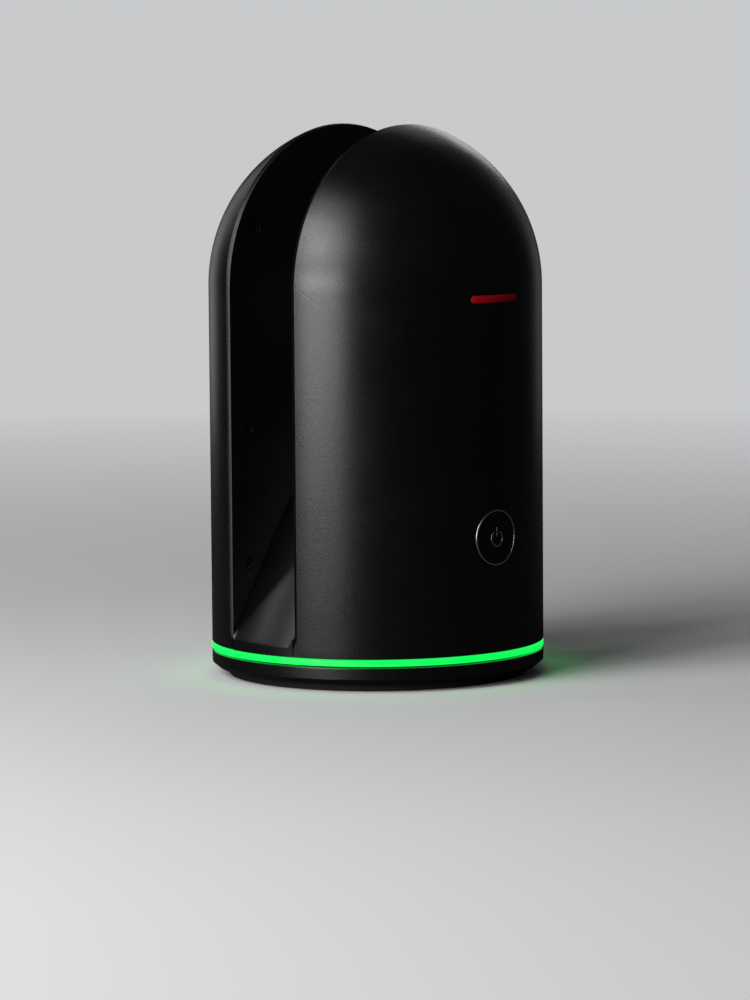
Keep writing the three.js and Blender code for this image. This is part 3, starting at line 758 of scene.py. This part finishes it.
def shell(windows):
    """The right lobe's shell: a section swept up the front, over the dome and down the rear,
    with windows in the cylinder."""
    mesh = Mesh()
    path = shell_section()
    normals = loop_normals(path)
    normals[0], normals[-1] = (1, 0), (-1, 0)

    levels = {SHELL_Z + 0.25, DOME_Z}
    for w in windows:
        levels |= {w["z"] - w["half_height"], min(w["z"] + w["half_height"], DOME_Z)}
    levels = sorted(levels)
    rows = [(SHELL_Z, 0.22), (SHELL_Z + 0.035, 0.11), (SHELL_Z + 0.11, 0.035)]   # z, inset
    for low, high in zip(levels, levels[1:]):
        count = max(1, int(math.ceil((high - low) / 2.2)))
        rows += [(low + (high - low) * k / count, 0.0) for k in range(count)]
    rows.append((DOME_Z, 0.0))
    heights = [z for z, _ in rows]

    grid = []
    for (x, rho), (nx, nr) in zip(path, normals):
        up = [(x - nx * inset, -(rho - nr * inset), z) for z, inset in rows]
        arch = [(x, -rho * math.cos(PI * m / ARCH_STEPS),
                 DOME_Z + rho * math.sin(PI * m / ARCH_STEPS)) for m in range(1, ARCH_STEPS)]
        down = [(x, -y, z) for x, y, z in reversed(up)]
        grid.append(mesh.loop(up + arch + down))
    path_len, sweep_len, top_row = len(path), len(grid[0]), len(rows) - 1

    def nearest_row(height):
        return min(range(len(rows)), key=lambda j: abs(heights[j] - height))

    # Each window's block of cells: columns c0 to c1, rows j0 to j1.
    blocks = [(math.floor((w["azimuth"] - w["half_angle"]) / OUTER_STEP),
               math.ceil((w["azimuth"] + w["half_angle"]) / OUTER_STEP),
               nearest_row(w["z"] - w["half_height"]),
               nearest_row(min(w["z"] + w["half_height"], DOME_Z))) for w in windows]

    def in_window(p, q):
        if p < WALL_STEPS - 1:
            column = p
        elif p >= path_len - WALL_STEPS:
            column = path_len - 2 - p
        else:
            return False
        if q < top_row:
            row, column = q, -column - 1
        elif q >= top_row + ARCH_STEPS:
            row = sweep_len - 2 - q
        else:
            return False
        return any(c0 <= column < c1 and j0 <= row < j1 for c0, c1, j0, j1 in blocks)

    for p in range(path_len - 1):
        for q in range(sweep_len - 1):
            if not in_window(p, q):
                mesh.face([grid[p][q], grid[p + 1][q], grid[p + 1][q + 1], grid[p][q + 1]])
    # The lower edge joins the outer and inner walls at the front and at the rear.
    for q in (0, sweep_len - 1):
        edge = [loop[q] for loop in grid]
        for k in range(WALL_STEPS - 1):
            mesh.face([edge[k], edge[k + 1], edge[path_len - 2 - k], edge[path_len - 1 - k]])
        mesh.face(edge[WALL_STEPS - 1:path_len - WALL_STEPS + 1], True)

    for w, (c0, c1, j0, j1) in zip(windows, blocks):
        cells = [(c, j0) for c in range(c0, c1)] + [(c1, j) for j in range(j0, j1)]
        cells += [(c, j1) for c in range(c1, c0, -1)] + [(c0, j) for j in range(j1, j0, -1)]
        rims = []
        for radius, step, edge in ((HEAD_R, OUTER_STEP, WINDOW_EDGE),
                                   (INNER_R, INNER_STEP, [(0.0, 0.0)])):
            place = on_cylinder(w["azimuth"], w["z"], radius)
            outer = [(radius * math.sin(c * step - w["azimuth"]), heights[j] - w["z"])
                     for c, j in cells]
            outlines = [[rounded(p, [s + growth for s in w["size"]]) for p in outer]
                        for growth, _ in edge]
            layers = [(outline, 0) for outline in eased(outer, outlines[0], 5)]
            layers += [(outline, depth) for outline, (_, depth) in zip(outlines, edge)][1:]
            loops = [mesh.loop([place(u, v, depth) for u, v in outline])
                     for outline, depth in layers]
            mesh.skin(loops)
            rims.append(loops[-1])
        mesh.bridge(*rims)
    return mesh


button_hole = dict(azimuth=0.0, half_angle=math.radians(13.5), z=BUTTON_Z, half_height=11.5,
                   size=(8.6, 8.6, 8.6))
camera_hole = dict(azimuth=CAM_AZ, half_angle=math.radians(8.5), z=CAM_Z,
                   half_height=DOME_Z - CAM_Z, size=(5.0, 28.0, 4.99))
door_hole = dict(azimuth=0.0, half_angle=math.radians(56.5), z=DOOR_Z, half_height=18.6,
                 size=(39.2, 15.3, 2.6))
fit(shell([button_hole, camera_hole]), "shell_right", "shell", "shell_black")
left_shell = shell([door_hole])
left_shell.points = [(-x, y, z) for x, y, z in left_shell.points]
fit(left_shell, "shell_left", "shell", "shell_black")

# ------------------------------------------------------------------ slot side panels
SCREWS = [node for node in sorted(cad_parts) if node.startswith("panel_screw_")]


def arch_outline(rho, steps=128):
    turns = [PI * k / steps for k in range(steps + 1)]
    arch = [(-rho * math.cos(t), DOME_Z + rho * math.sin(t)) for t in turns]
    return [(-rho, PANEL_Z)] + arch + [(rho, PANEL_Z)]


def slot_panel(side, aperture, aperture_edge):
    """The panel at one side (1 right, -1 left), with the aperture round the mirror's axis."""
    mesh = Mesh()
    rho = lip_rho(SLOT_X)
    depth = panel_hi[0] - SLOT_X
    stations = [                            # depth from the slot, outline's half width
        (0.0, rho - 0.08), (0.015, rho - 0.03), (0.05, rho + 0.02), (0.51, rho + 0.25),
        (0.56, rho + 0.26), (0.58, rho + 0.21), (0.58, 45.2), (depth, 45.2)]
    body = [mesh.loop(at_x(arch_outline(r), side * (SLOT_X + x))) for x, r in stations]
    mesh.skin(body)
    near, far = [body[0]], [body[-1]]

    def hole(y, z, radius, edge, sides):
        stack = [mesh.loop(at_x(circle(r, sides), side * (SLOT_X + x), y, z)) for r, x in (
            (radius + edge, 0.0), (radius + edge * 0.45, edge * 0.14),
            (radius + edge * 0.14, edge * 0.45), (radius, edge), (radius, depth))]
        mesh.skin(stack)
        near.append(stack[0])
        far.append(stack[-1])

    hole(0.0, MIRROR_Z, aperture, aperture_edge, 128)
    for screw in SCREWS:
        x, y, z = centre(screw)
        if (x > 0) == (side > 0):
            hole(y, z, radius=1.75, edge=0.22, sides=40)
    mesh.fill(near)
    mesh.fill(far)
    return mesh


fit(slot_panel(1, 11.4, 0.8), "slot_panel_right", "panel", "panel_black", angle=30)
fit(slot_panel(-1, 4.6, 0.5), "slot_panel_left", "panel", "panel_black", angle=30)

# ------------------------------------------------------------------ slot floor: sill and ramp
RAMP_SLOPE = math.tan(PI / 3)
FLARE_W, FLARE_H = 1.15, 1.9                # the floor turns up along its sides
CREST = 0.9                                 # softness of the ramp's crest
FLOOR_WALL = 2.31


def ramp(radius):
    height = SILL_Z + (FLOOR_R - radius) * RAMP_SLOPE
    return -math.log(math.exp(-(height - RAMP_TOP) / CREST) + 1.0) * CREST + RAMP_TOP


def floor_section(x):
    """(y, z) outline of the floor at x."""
    flare = FLARE_H * max(0.0, (abs(x) - (FLOOR_X - FLARE_W)) / FLARE_W)
    reach = math.sqrt(FLOOR_R ** 2 - x * x)
    sill = SILL_Z + flare
    edge = [(reach, SHELL_Z), (reach, sill - 0.28), (reach - 0.03, sill - 0.13),
            (reach - 0.09, sill + 0.02)]
    line = [(-y, z) for y, z in edge]
    for k in range(121):
        y = (-1 + 2 * k / 120) * (reach - 0.16)
        fade = max(0.0, 1.0 - (reach - abs(y)) / 2.6)
        line.append((y, ramp(math.hypot(x, y)) + flare * (0.06 + 0.94 * fade * fade)))
    line += edge[::-1]
    inner_r = FLOOR_R - FLOOR_WALL
    inner_reach = math.sqrt(inner_r ** 2 - x * x)
    line.append((inner_reach, SHELL_Z))
    for k in range(61):
        y = inner_reach * (1 - 2 * k / 60)
        under = SILL_Z + (inner_r - math.hypot(x, y)) * RAMP_SLOPE
        line.append((y, min(RAMP_TOP - 2.0, under)))
    return line + [(-inner_reach, SHELL_Z)]


side_offsets = [0.0, 0.15] + [FLARE_W * k / 4 for k in range(1, 4)]
side_offsets += [FLARE_W - 0.08, FLARE_W + 0.08]
left_xs = [-FLOOR_X + offset for offset in side_offsets]
core_x = FLOOR_X - FLARE_W - 0.7
floor_xs = left_xs + list(np.linspace(-core_x, core_x, 25)) + [-x for x in reversed(left_xs)]
mesh = Mesh()
mesh.capped([mesh.loop(at_x(floor_section(x), x)) for x in floor_xs])
# The floor takes the ramp material, whose darker colour is painted shade.
fit(mesh, "slot_floor", "ramp", "panel_black", angle=24)

# ------------------------------------------------------------------ feet of the lip
# Where the shells close in on the sill. Corners are (x, z, rounding).
foot_outline = fillet([(13.22, SHELL_Z + 0.2, 0.10), (14.5, SHELL_Z + 0.2, 0.0),
                       (14.5, 15.8, 0.0), (13.22, 12.45, 0.12)], 3)
for side, side_name in ((1, "right"), (-1, "left")):
    for end, end_name in ((-1, "front"), (1, "rear")):
        mesh = Mesh()
        mesh.capped([mesh.loop([
            (side * x, end * (math.sqrt(HEAD_R ** 2 - x * x) - 0.02 - depth), z)
            for x, z in foot_outline]) for depth in (0.0, 3.0)])
        add(mesh, "lip_foot_%s_%s" % (side_name, end_name), "shell", "shell_black", angle=30)

# ------------------------------------------------------------------ panel screws
SCREW_SIDES = 60


def hexagon(scale):
    """The hexagon socket's outline."""
    outline = []
    for k in range(SCREW_SIDES):
        angle = 2 * PI * k / SCREW_SIDES
        r = 0.75 * math.cos(PI / 6) / math.cos(angle % (PI / 3) - PI / 6) * scale
        outline.append((r * math.cos(angle), r * math.sin(angle)))
    return outline


def screw(node):
    x, y, z = centre(node)
    side = 1 if x > 0 else -1
    head, end = sorted(abs(corner[0]) for corner in extent(node))
    stack = [(circle(1.6, SCREW_SIDES), end)]
    stack += [(circle(r, SCREW_SIDES), head + depth) for r, depth in (
        (1.6, 0.34), (1.55, 0.18), (1.44, 0.06), (1.28, 0.0))]
    stack += [(hexagon(scale), head + depth) for scale, depth in (
        (1.14, 0.0), (1.03, 0.05), (1.0, 0.12), (1.0, 0.7))]
    mesh = Mesh()
    loops = [mesh.loop(at_x(outline, side * x, y, z)) for outline, x in stack]
    mesh.skin(loops)
    tip, pit = mesh.loop([(side * end, y, z), (side * (head + 0.85), y, z)])
    mesh.fan(loops[0], tip)
    mesh.fan(loops[-1], pit)
    return mesh


for node in SCREWS:
    fit(screw(node), node, "dark_steel", "steel", angle=28)

# ------------------------------------------------------------------ power button
BUTTON_R = HEAD_R - 0.05                    # cylinder that the button's face follows
bezel = framed_sheet(circle(8.04, 160), circle(7.98, 160), 1)
fit(bezel.solid(on_cylinder(0.0, BUTTON_Z, HEAD_R + 0.10), thick=3.3, edge=0.25, steps=7),
    "power_button_ring", "silver", "button_silver")
fit(disc_sheet(7.25, sides=128, rings=16).solid(
    on_cylinder(0.0, BUTTON_Z, BUTTON_R), thick=2.9, edge=0.2),
    "power_button", "gloss", "gloss_black", "button")


def power_mark(line, name, node=None):
    sheet = stroke_sheet(line, half=0.20)
    place = on_cylinder(0.0, BUTTON_Z, BUTTON_R + 0.025)
    add(sheet.solid(place, thick=0.5, edge=0.03, steps=2), name, "silver", "button_silver",
        "button", node=node)


gap = math.radians(38)                      # half the arc's opening at the top
ARC_R, ARC_V = 2.225, -0.3
power_mark([(ARC_R * math.cos(t), ARC_V + ARC_R * math.sin(t))
            for t in np.linspace(PI / 2 + gap, PI / 2 - gap + 2 * PI, 72)],
           "power_symbol_arc", "power_symbol")
power_mark([(0.0, 0.50 + 2.3 * k / 12) for k in range(13)], "power_symbol_bar")

# ------------------------------------------------------------------ red printed bar
BAR_LENGTH = 17.2                           # without its round ends
bar = stroke_sheet([(-BAR_LENGTH / 2 + BAR_LENGTH * k / 60, 0.0) for k in range(61)], half=1.05)
add(bar.solid(on_cylinder(0.0, DOME_Z - 2.6, HEAD_R + 0.02), thick=0.3, edge=0.02, steps=2),
    "red_accent_bar", "red", "button_silver")

# ------------------------------------------------------------------ battery door and its bay
DOOR_EDGE = 0.22
door = rounded_sheet((38.9 - DOOR_EDGE, 15.0 - DOOR_EDGE, 2.2), 120, 44)
fit(door.solid(on_cylinder(PI, DOOR_Z), thick=1.8, edge=DOOR_EDGE),
    "battery_door", "gloss", "gloss_black", "battery_drawer")

CORE_R, CORE_BACK, CORE_THICK = 48.15, 43.4, 3.0


def door_core(u, v, depth):
    """Runs from a curved face behind the door to a flat back."""
    face = math.sqrt(CORE_R * CORE_R - u * u)
    return (-(face + (CORE_BACK - face) * depth / CORE_THICK), -u, DOOR_Z + v)


core = rounded_sheet((16.7, 8.7, 1.8), 48, 24)
add(core.solid(door_core, CORE_THICK, edge=0.25),
    "battery_door_core", "inner", "gloss_black", "battery_drawer")


def box_loop(half_y, half_z, corner):
    """Rounded rectangle with nine points to a corner."""
    y, z = half_y - corner, half_z - corner
    return [(cy + corner * math.cos(start + PI / 2 * k / 8),
             cz + corner * math.sin(start + PI / 2 * k / 8))
            for cy, cz, start in ((y, z, 0), (-y, z, PI / 2), (-y, -z, PI), (y, -z, 1.5 * PI))
            for k in range(9)]


pack_lo, pack_hi = extent("battery_pack")
sleeve_lo, sleeve_hi = extent("battery_sleeve")
PACK_Z = (pack_hi[2] + pack_lo[2]) / 2


def box_along_x(stations, lo, hi):
    """A box through (x, inset, corner radius) stations, with its half sizes from lo and hi."""
    half_y, half_z = (hi[1] - lo[1]) / 2, (hi[2] - lo[2]) / 2
    mesh = Mesh()
    mesh.capped([mesh.loop(at_x(box_loop(half_y - inset, half_z - inset, corner), x, z=PACK_Z))
                 for x, inset, corner in stations])
    return mesh


# Battery with rounded ends and a groove near each end: (offset along X, inset).
x0, x1 = pack_lo[0], pack_hi[0]
end = [(0.0, 0.8), (0.15, 0.35), (0.45, 0.08), (0.8, 0.0)]
groove = [(-0.5, 0.0), (-0.4, 0.04), (-0.3, 0.35), (0.3, 0.35), (0.4, 0.04), (0.5, 0.0)]
stations = [(x0 + offset, inset) for offset, inset in end]
for x in (x0 + 9.0, x1 - 9.0):
    stations += [(x + offset, inset) for offset, inset in groove]
stations += [(x1 - offset, inset) for offset, inset in reversed(end)]
stations = [(x, inset, max(2.2 - inset, 0.6)) for x, inset in stations]
fit(box_along_x(stations, pack_lo, pack_hi),
    "battery_pack", "battery", "grey_plastic", "battery_drawer")

x0, x1 = sleeve_lo[0], sleeve_hi[0]
stations = [                                # x, inset, corner radius
    (x1, 0.4, 0.9), (x1 - 0.12, 0.1, 1.1), (x1 - 0.4, 0.0, 1.2), (x0 + 0.3, 0.0, 1.2),
    (x0 + 0.08, 0.1, 1.1), (x0, 0.3, 1.0), (x0, 0.95, 0.8), (x0 + 0.2, 1.15, 0.6),
    (x0 + 0.5, 1.2, 0.5), (x1 - 1.2, 1.2, 0.5)]
fit(box_along_x(stations, sleeve_lo, sleeve_hi), "battery_sleeve", "inner", "grey_plastic")

# Curved wall that closes the bay behind the door, round the mouth of the sleeve.
outside = frame_points(41.0, 18.0, 110, 40)
wall = framed_sheet([rounded(p, (37.6, 15.6, 2.0)) for p in outside],
                    [rounded(p, (21.0, 11.8, 1.2)) for p in outside], 14)
add(wall.solid(on_cylinder(PI, DOOR_Z, 47.5), thick=1.2, edge=0.12),
    "battery_bay_wall", "inner", "panel_black")

# ------------------------------------------------------------------ camera window
WINDOW_INSET = 0.2
HALF_U, HALF_V, WINDOW_END = (size - WINDOW_INSET for size in (4.7, 27.7, 4.69))
HOLES = {"camera_lens_lower": 3.0, "flash_led": 2.5, "camera_lens_middle": 3.0,
         "thermal_camera": 3.6, "camera_lens_upper": 3.0}     # radii, from the bottom up


def camera_window():
    """A sheet split into one cell round each hole, one above the other."""
    sheet = Sheet()
    holes = [(centre(node)[2] - CAM_Z, radius) for node, radius in HOLES.items()]
    straight = HALF_V - WINDOW_END
    stops = [-straight]
    stops += [(v + r + (next_v - next_r)) / 2
              for (v, r), (next_v, next_r) in zip(holes, holes[1:])]
    stops.append(straight)
    levels = []
    for low, high in zip(stops, stops[1:]):
        count = max(2, int(math.ceil((high - low) / 0.6)))
        levels += [low + (high - low) * k / count for k in range(count)]
    levels.append(straight)
    across = [-HALF_U + 2 * HALF_U * k / 16 for k in range(1, 16)]
    bottom, top = ([(HALF_U * math.cos(t), v + WINDOW_END * math.sin(t))
                    for t in np.linspace(start, start + PI, 41)[1:-1]]
                   for v, start in ((-straight, -PI), (straight, 0)))
    edges = []
    for (mid, radius), low, high in zip(holes, stops, stops[1:]):
        side = [v for v in levels if low - 1e-6 <= v <= high + 1e-6]
        outline = bottom if low == -straight else [(u, low) for u in across]
        outline = outline + [(HALF_U, v) for v in side]
        outline += top if high == straight else [(u, high) for u in reversed(across)]
        outline += [(-HALF_U, v) for v in reversed(side)]
        r = radius + 0.15
        rim = []
        for u, v in outline:
            distance = math.hypot(u, v - mid)
            rim.append((u / distance * r, mid + (v - mid) / distance * r))
        edges.append(sheet.ring(outline, rim, 4)[1][::-1])
    border = [(HALF_U, v) for v in levels] + top
    border += [(-HALF_U, v) for v in reversed(levels)] + bottom
    sheet.edges = [sheet.loop(border)] + edges
    return sheet.solid(on_cylinder(CAM_AZ, CAM_Z, HEAD_R - 0.05), thick=1.7, edge=0.15)


fit(camera_window(), "camera_window", "gloss", "gloss_black")

# Profiles are (radius, distance from the Z axis), with a rounding where they are filleted.
lens = [(0.0, 49.25)]
lens += [(2.35 * math.sin(t), 47.35 + 1.9 * math.cos(t)) for t in np.linspace(0.12, 1.15, 12)]
lens += [(2.25, 48.1), (2.35, 47.9), (2.35, 47.4), (0.0, 47.4)]
bezel = fillet([(2.42, 47.4, 0.0), (2.82, 47.4, 0.05), (2.82, 49.35, 0.08),
                (2.62, 49.35, 0.08), (2.42, 48.6, 0.05)], 3)
for level in ("upper", "middle", "lower"):
    node = "camera_lens_" + level
    axis = along_x(centre(node)[2], CAM_AZ)
    fit(lathe(lens, 72, axis), node, "lens", "optical_glass")
    add(lathe(bezel, 72, axis), "camera_bezel_" + level, "inner", "gloss_black")

axis = along_x(sum(corner[2] for corner in extent("thermal_camera")) / 2, CAM_AZ)
profile = [(0.0, 39.5, 0), (4.3, 39.5, 0.3), (4.3, 45.0, 0.3), (3.3, 45.0, 0.1),
           (3.3, 49.3, 0.12), (2.7, 49.3, 0.12), (2.3, 48.7, 0.1), (0.0, 48.7, 0)]
fit(lathe(fillet(profile), 72, axis), "thermal_camera", "cast", "cast_alloy")

CAP_R, CAP_ANGLE = 2.25, 0.9                # the thermal window's domed face
cap_cos = math.cos(CAP_ANGLE)
profile = [(0.0, 49.05)]
profile += [(CAP_R * math.sin(t) / math.sin(CAP_ANGLE),
             48.72 + 0.33 * (math.cos(t) - cap_cos) / (1 - cap_cos))
            for t in np.linspace(0.1, CAP_ANGLE, 8)]
profile += [(CAP_R, 48.71), (0.0, 48.71)]
add(lathe(profile, 64, axis), "thermal_window", "germanium", "optical_glass")

profile = [(0.0, 49.05, 0)]                 # stepped rings on the flash
profile += [(r, along, 0.1) for r, along in (
    (0.35, 49.12), (0.7, 48.98), (1.05, 49.12), (1.4, 48.98), (1.75, 49.12), (2.1, 49.05),
    (2.22, 48.9), (2.22, 46.0))]
profile.append((0.0, 46.0, 0))
fit(lathe(fillet(profile, 3), 64, along_x(centre("flash_led")[2], CAM_AZ)),
    "flash_led", "flash", "flash_diffuser")

# ------------------------------------------------------------------ spinning mirror
MIRROR_SIDES = 128
DRUM_END = -12.3                            # the drum's flat end
mesh = Mesh()
start, = mesh.loop([(DRUM_END, 0, MIRROR_Z)])
loops = []
# Radius, and share of the way from the flat end to the 45 degree cut.
for radius, share in ((10.5, 0.0), (10.85, 0.02), (11.0, 0.06), (11.0, 0.25), (11.0, 0.5),
                      (11.0, 0.75), (11.0, 0.94), (10.96, 0.985), (10.8, 1.0)):
    loops.append(mesh.loop([
        (DRUM_END + (max(y - ROOT2, DRUM_END + 0.02) - DRUM_END) * share, y, MIRROR_Z + z)
        for y, z in circle(radius, MIRROR_SIDES)]))
end, = mesh.loop([(-ROOT2, 0, MIRROR_Z)])
mesh.flat_ended(loops, start, end)
fit(mesh, "mirror_drum", "cast", "cast_alloy", "mirror", angle=32)

mesh = Mesh()
loops = [mesh.loop([(y + height * ROOT2, y, MIRROR_Z + z)
                    for y, z in circle(radius, MIRROR_SIDES)])
         for radius, height in (            # height is square to the 45 degree face
             (10.55, -0.95), (10.72, -0.80), (10.72, 0.02), (10.5, 0.20), (10.42, 0.25))]
mesh.flat_ended(loops, *mesh.loop([(height * ROOT2, 0, MIRROR_Z) for height in (-0.95, 0.25)]))
fit(mesh, "mirror_glass", "mirror", "mirror_silver", "mirror", angle=25)

# Turned parts on the mirror's axis. Profiles are (radius, x, rounding).
axis = along_x(MIRROR_Z)
profile = [(0, -37.4, 0), (3.0, -37.4, 0.35), (3.0, -12.35, 0.2), (0, -12.35, 0)]
fit(lathe(fillet(profile), 64, axis), "mirror_shaft", "steel", "steel", "mirror")
fit(lathe(fillet(band(3.2, 11.5, -19.6, -18.8, rounding=0.1)), 128, axis),
    "encoder_disc", "encoder", "optical_glass", "mirror")
fit(lathe(fillet(band(3.2, 9.3, -35.2, -24.4, rounding=0.5)), 96, axis),
    "mirror_rotor", "copper", "copper_rotor", "mirror")
profile = [(3.6, -17.4, 0.15), (8.9, -17.4, 0.2), (8.9, -15.5, 0.2), (7.6, -15.5, 0.08),
           (7.4, -15.9, 0.05), (5.2, -15.9, 0.05), (5.0, -15.5, 0.08), (3.6, -15.5, 0.15)]
fit(lathe(fillet(profile), 96, axis), "mirror_bearing", "steel", "steel")
profile = [(0, 40.0, 0), (12.6, 40.0, 0.4), (12.6, 15.5, 0.25), (11.0, 15.5, 0.35),
           (11.0, 38.4, 0.4), (0, 38.4, 0)]
fit(lathe(fillet(profile), 128, axis), "receiver_tube", "inner", "panel_black")
near_face = [(10.4 * k / 14, 16.2 + 3.2 * (k / 14) ** 2) for k in range(15)]
far_face = [(10.4 * k / 14, 22.6 - 2.0 * (k / 14) ** 2) for k in range(14, -1, -1)]
fit(lathe(near_face + [(10.5, 19.55), (10.5, 20.45)] + far_face, 128, axis),
    "receiver_lens", "receiver", "optical_glass")

# ------------------------------------------------------------------ turned parts along Z
for name, inner, outer, body in (("inner", 14.2, 16.3, "base"), ("outer", 17.3, 19.85, "head")):
    fit(lathe(fillet(band(inner, outer, 8.2, 13.2, rounding=0.3), 3), 128),
        "azimuth_bearing_" + name, "steel", "steel", body)

motor_lo, motor_hi = extent("azimuth_motor")
low, high = motor_lo[2], motor_hi[2]
profile = [(0, high, 0), (9.3, high, 0.7), (9.3, low, 0.4), (2.3, low, 0.2),
           (2.3, low + 1.9, 0.1), (0, low + 1.9, 0)]
fit(lathe(fillet(profile), 96, along_z(centre("azimuth_motor")[1])),
    "azimuth_motor", "grey", "grey_plastic")

# ------------------------------------------------------------------ CAD nodes that stay
KEEP = {                                    # material, width of the rounded edges
    "azimuth_gear": ("brass", 0.10), "azimuth_pinion": ("steel", 0.08),
    "head_chassis": ("cast", 0.25), "led_board": ("board", 0.10),
    "mirror_motor": ("grey", 0.2), "encoder_reader": ("board", 0.1),
    "laser_module": ("cast", 0.3), "main_board": ("board", 0.15),
    "wlan_antenna": ("board", 0.1), "battery_contacts": ("brass", 0.15),
    "button_switch": ("grey", 0.25), "button_board": ("board", 0.1),
    "camera_upper": ("grey", 0.15), "camera_middle": ("grey", 0.15),
    "camera_lower": ("grey", 0.15),
}
for node, (material, width) in KEEP.items():
    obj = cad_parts[node]
    paint(obj, material)
    bevel = obj.modifiers.new("edges", "BEVEL")
    bevel.width = width * MM
    bevel.segments = 2
    bevel.limit_method = "ANGLE"
    bevel.angle_limit = math.radians(40)
    bevel.use_clamp_overlap = True

# ------------------------------------------------------------------ stage, in metres
VIEW = Vector((0.7072, -0.7070, 0.0))      # towards the camera
RIGHT = Vector((0.7070, 0.7072, 0.0))      # to the camera's right

disc = bmesh.new()
bmesh.ops.create_circle(disc, cap_ends=True, radius=3.0, segments=128)
floor_mesh = bpy.data.meshes.new("floor")
disc.to_mesh(floor_mesh)
disc.free()
floor = bpy.data.objects.new("floor", floor_mesh)
bpy.context.scene.collection.objects.link(floor)


def floor_material():
    """Pale to the camera, dark to other rays, and fading to clear with distance."""
    n = Shader("pale_floor")
    n.tree.nodes.remove(n.bsdf)
    diffuse = n.add("ShaderNodeBsdfDiffuse")
    seen = n.add("ShaderNodeLightPath").outputs["Is Camera Ray"]
    tone = n.mix(n.noise(scale=3.0, detail=3.0), (0.97, 0.97, 0.97), (1.0, 1.0, 1.0))
    gain = n.mix(seen, (0.07, 0.07, 0.07), (1.05, 1.05, 1.06))
    n.feed(diffuse, {"Color": n.mix(1.0, tone, gain, mode="MULTIPLY")})
    distance = n.add("ShaderNodeVectorMath", {0: n.coord}, operation="LENGTH").outputs["Value"]
    clear = n.add("ShaderNodeBsdfTransparent")
    fade = n.add("ShaderNodeMixShader", {
        0: n.remap(distance, span=(0.22, 0.95)), 1: diffuse.outputs[0], 2: clear.outputs[0]})
    output = next(node for node in n.tree.nodes if node.type == "OUTPUT_MATERIAL")
    n.feed(output, {"Surface": fade.outputs[0]})
    return n.mat


floor_mesh.materials.append(floor_material())

# The world is pale to the camera and nearly dark as a light.
world = bpy.data.worlds.new("studio")
bpy.context.scene.world = world
world.use_nodes = True
tree = world.node_tree
dim = next(node for node in tree.nodes if node.type == "BACKGROUND")
output = next(node for node in tree.nodes if node.type == "OUTPUT_WORLD")
pale = tree.nodes.new("ShaderNodeBackground")
for node, colour, strength in ((dim, (1, 1, 1, 1), 0.02), (pale, (0.97, 0.98, 1.0, 1), 0.60)):
    node.inputs["Color"].default_value = colour
    node.inputs["Strength"].default_value = strength
seen = tree.nodes.new("ShaderNodeLightPath").outputs["Is Camera Ray"]
switch = tree.nodes.new("ShaderNodeMixShader")
for i, socket in enumerate((seen, dim.outputs[0], pale.outputs[0])):
    tree.links.new(socket, switch.inputs[i])
tree.links.new(switch.outputs[0], output.inputs["Surface"])

AIM = Vector((0, 0, 0.09))                  # middle of the scanner


def softbox(name, azimuth, elevation, width, height, radiance):
    """A light 1 m from AIM. Azimuth is from the camera's direction, positive to its right."""
    a, e = math.radians(azimuth), math.radians(elevation)
    level = (RIGHT * math.sin(a) + VIEW * math.cos(a)) * math.cos(e)
    where = AIM + level + Vector((0, 0, math.sin(e)))
    light = bpy.data.lights.new(name, "AREA")
    light.shape = "RECTANGLE"
    light.size, light.size_y = width, height
    light.energy = radiance * PI * width * height
    obj = bpy.data.objects.new(name, light)
    bpy.context.scene.collection.objects.link(obj)
    obj.location = where
    obj.rotation_mode = "QUATERNION"
    obj.rotation_quaternion = (AIM - where).to_track_quat("-Z", "Y")
    obj.visible_camera = False


# (azimuth, elevation, radiance): the key is a curved wall of small softboxes at the left of
# the camera, the rims stand behind.
KEYS = (
    (-45, 3, 8.8), (-45, 15, 3.7), (-45, 27, 6.4), (-45, 39, 3.72), (-45, 52, 1.20),
    (-30, 3, 7.0), (-30, 15, 2.9), (-30, 27, 3.87), (-30, 39, 2.74), (-30, 52, 0.70),
    (-60, 15, 1.41), (-60, 27, 2.47), (-60, 39, 4.51), (-60, 52, 1.51), (-15, 27, 0.50))
RIMS = (
    (-150, 3, 0.52), (-150, 20, 0.41), (-130, 20, 0.11), (170, 20, 1.35), (170, 40, 0.28),
    (150, 3, 0.16), (150, 20, 0.12), (150, 40, 0.04))
for azimuth, elevation, radiance in KEYS:
    softbox("key_%d_%d" % (-azimuth, elevation), azimuth, elevation,
            width=0.27, height=0.22, radiance=radiance)
softbox("side", azimuth=-102, elevation=32, width=0.15, height=0.20, radiance=3.1)
for azimuth, elevation, radiance in RIMS:
    side = "left" if azimuth < 0 else "right"
    softbox("rim_%s_%d_%d" % (side, abs(azimuth), elevation), azimuth, elevation,
            width=0.34, height=0.30, radiance=radiance)

camera = bpy.data.cameras.new("camera")
camera.sensor_width = 36.0
camera.lens = 168.14
camera.clip_start, camera.clip_end = 0.01, 50.0
cam = bpy.data.objects.new("camera", camera)
bpy.context.scene.collection.objects.link(cam)
DISTANCE, HEIGHT = 1.4, 0.1957
PITCH, YAW, ROLL = 0.10247, -0.0004, -0.0077          # radians; pitch is downwards
level = RIGHT * math.sin(YAW) - VIEW * math.cos(YAW)
ahead = (level * math.cos(PITCH) + Vector((0, 0, -math.sin(PITCH)))).normalized()
right = (RIGHT * math.cos(YAW) + VIEW * math.sin(YAW)).normalized()
up = right.cross(ahead).normalized()
rolled_right = right * math.cos(ROLL) + up * math.sin(ROLL)
rolled_up = up * math.cos(ROLL) - right * math.sin(ROLL)
pose = Matrix((rolled_right, rolled_up, -ahead)).transposed().to_4x4()
pose.translation = VIEW * DISTANCE + Vector((0, 0, HEIGHT))
cam.matrix_world = pose
bpy.context.scene.camera = cam
bpy.context.scene.view_settings.view_transform = "Standard"

bpy.context.view_layer.update()
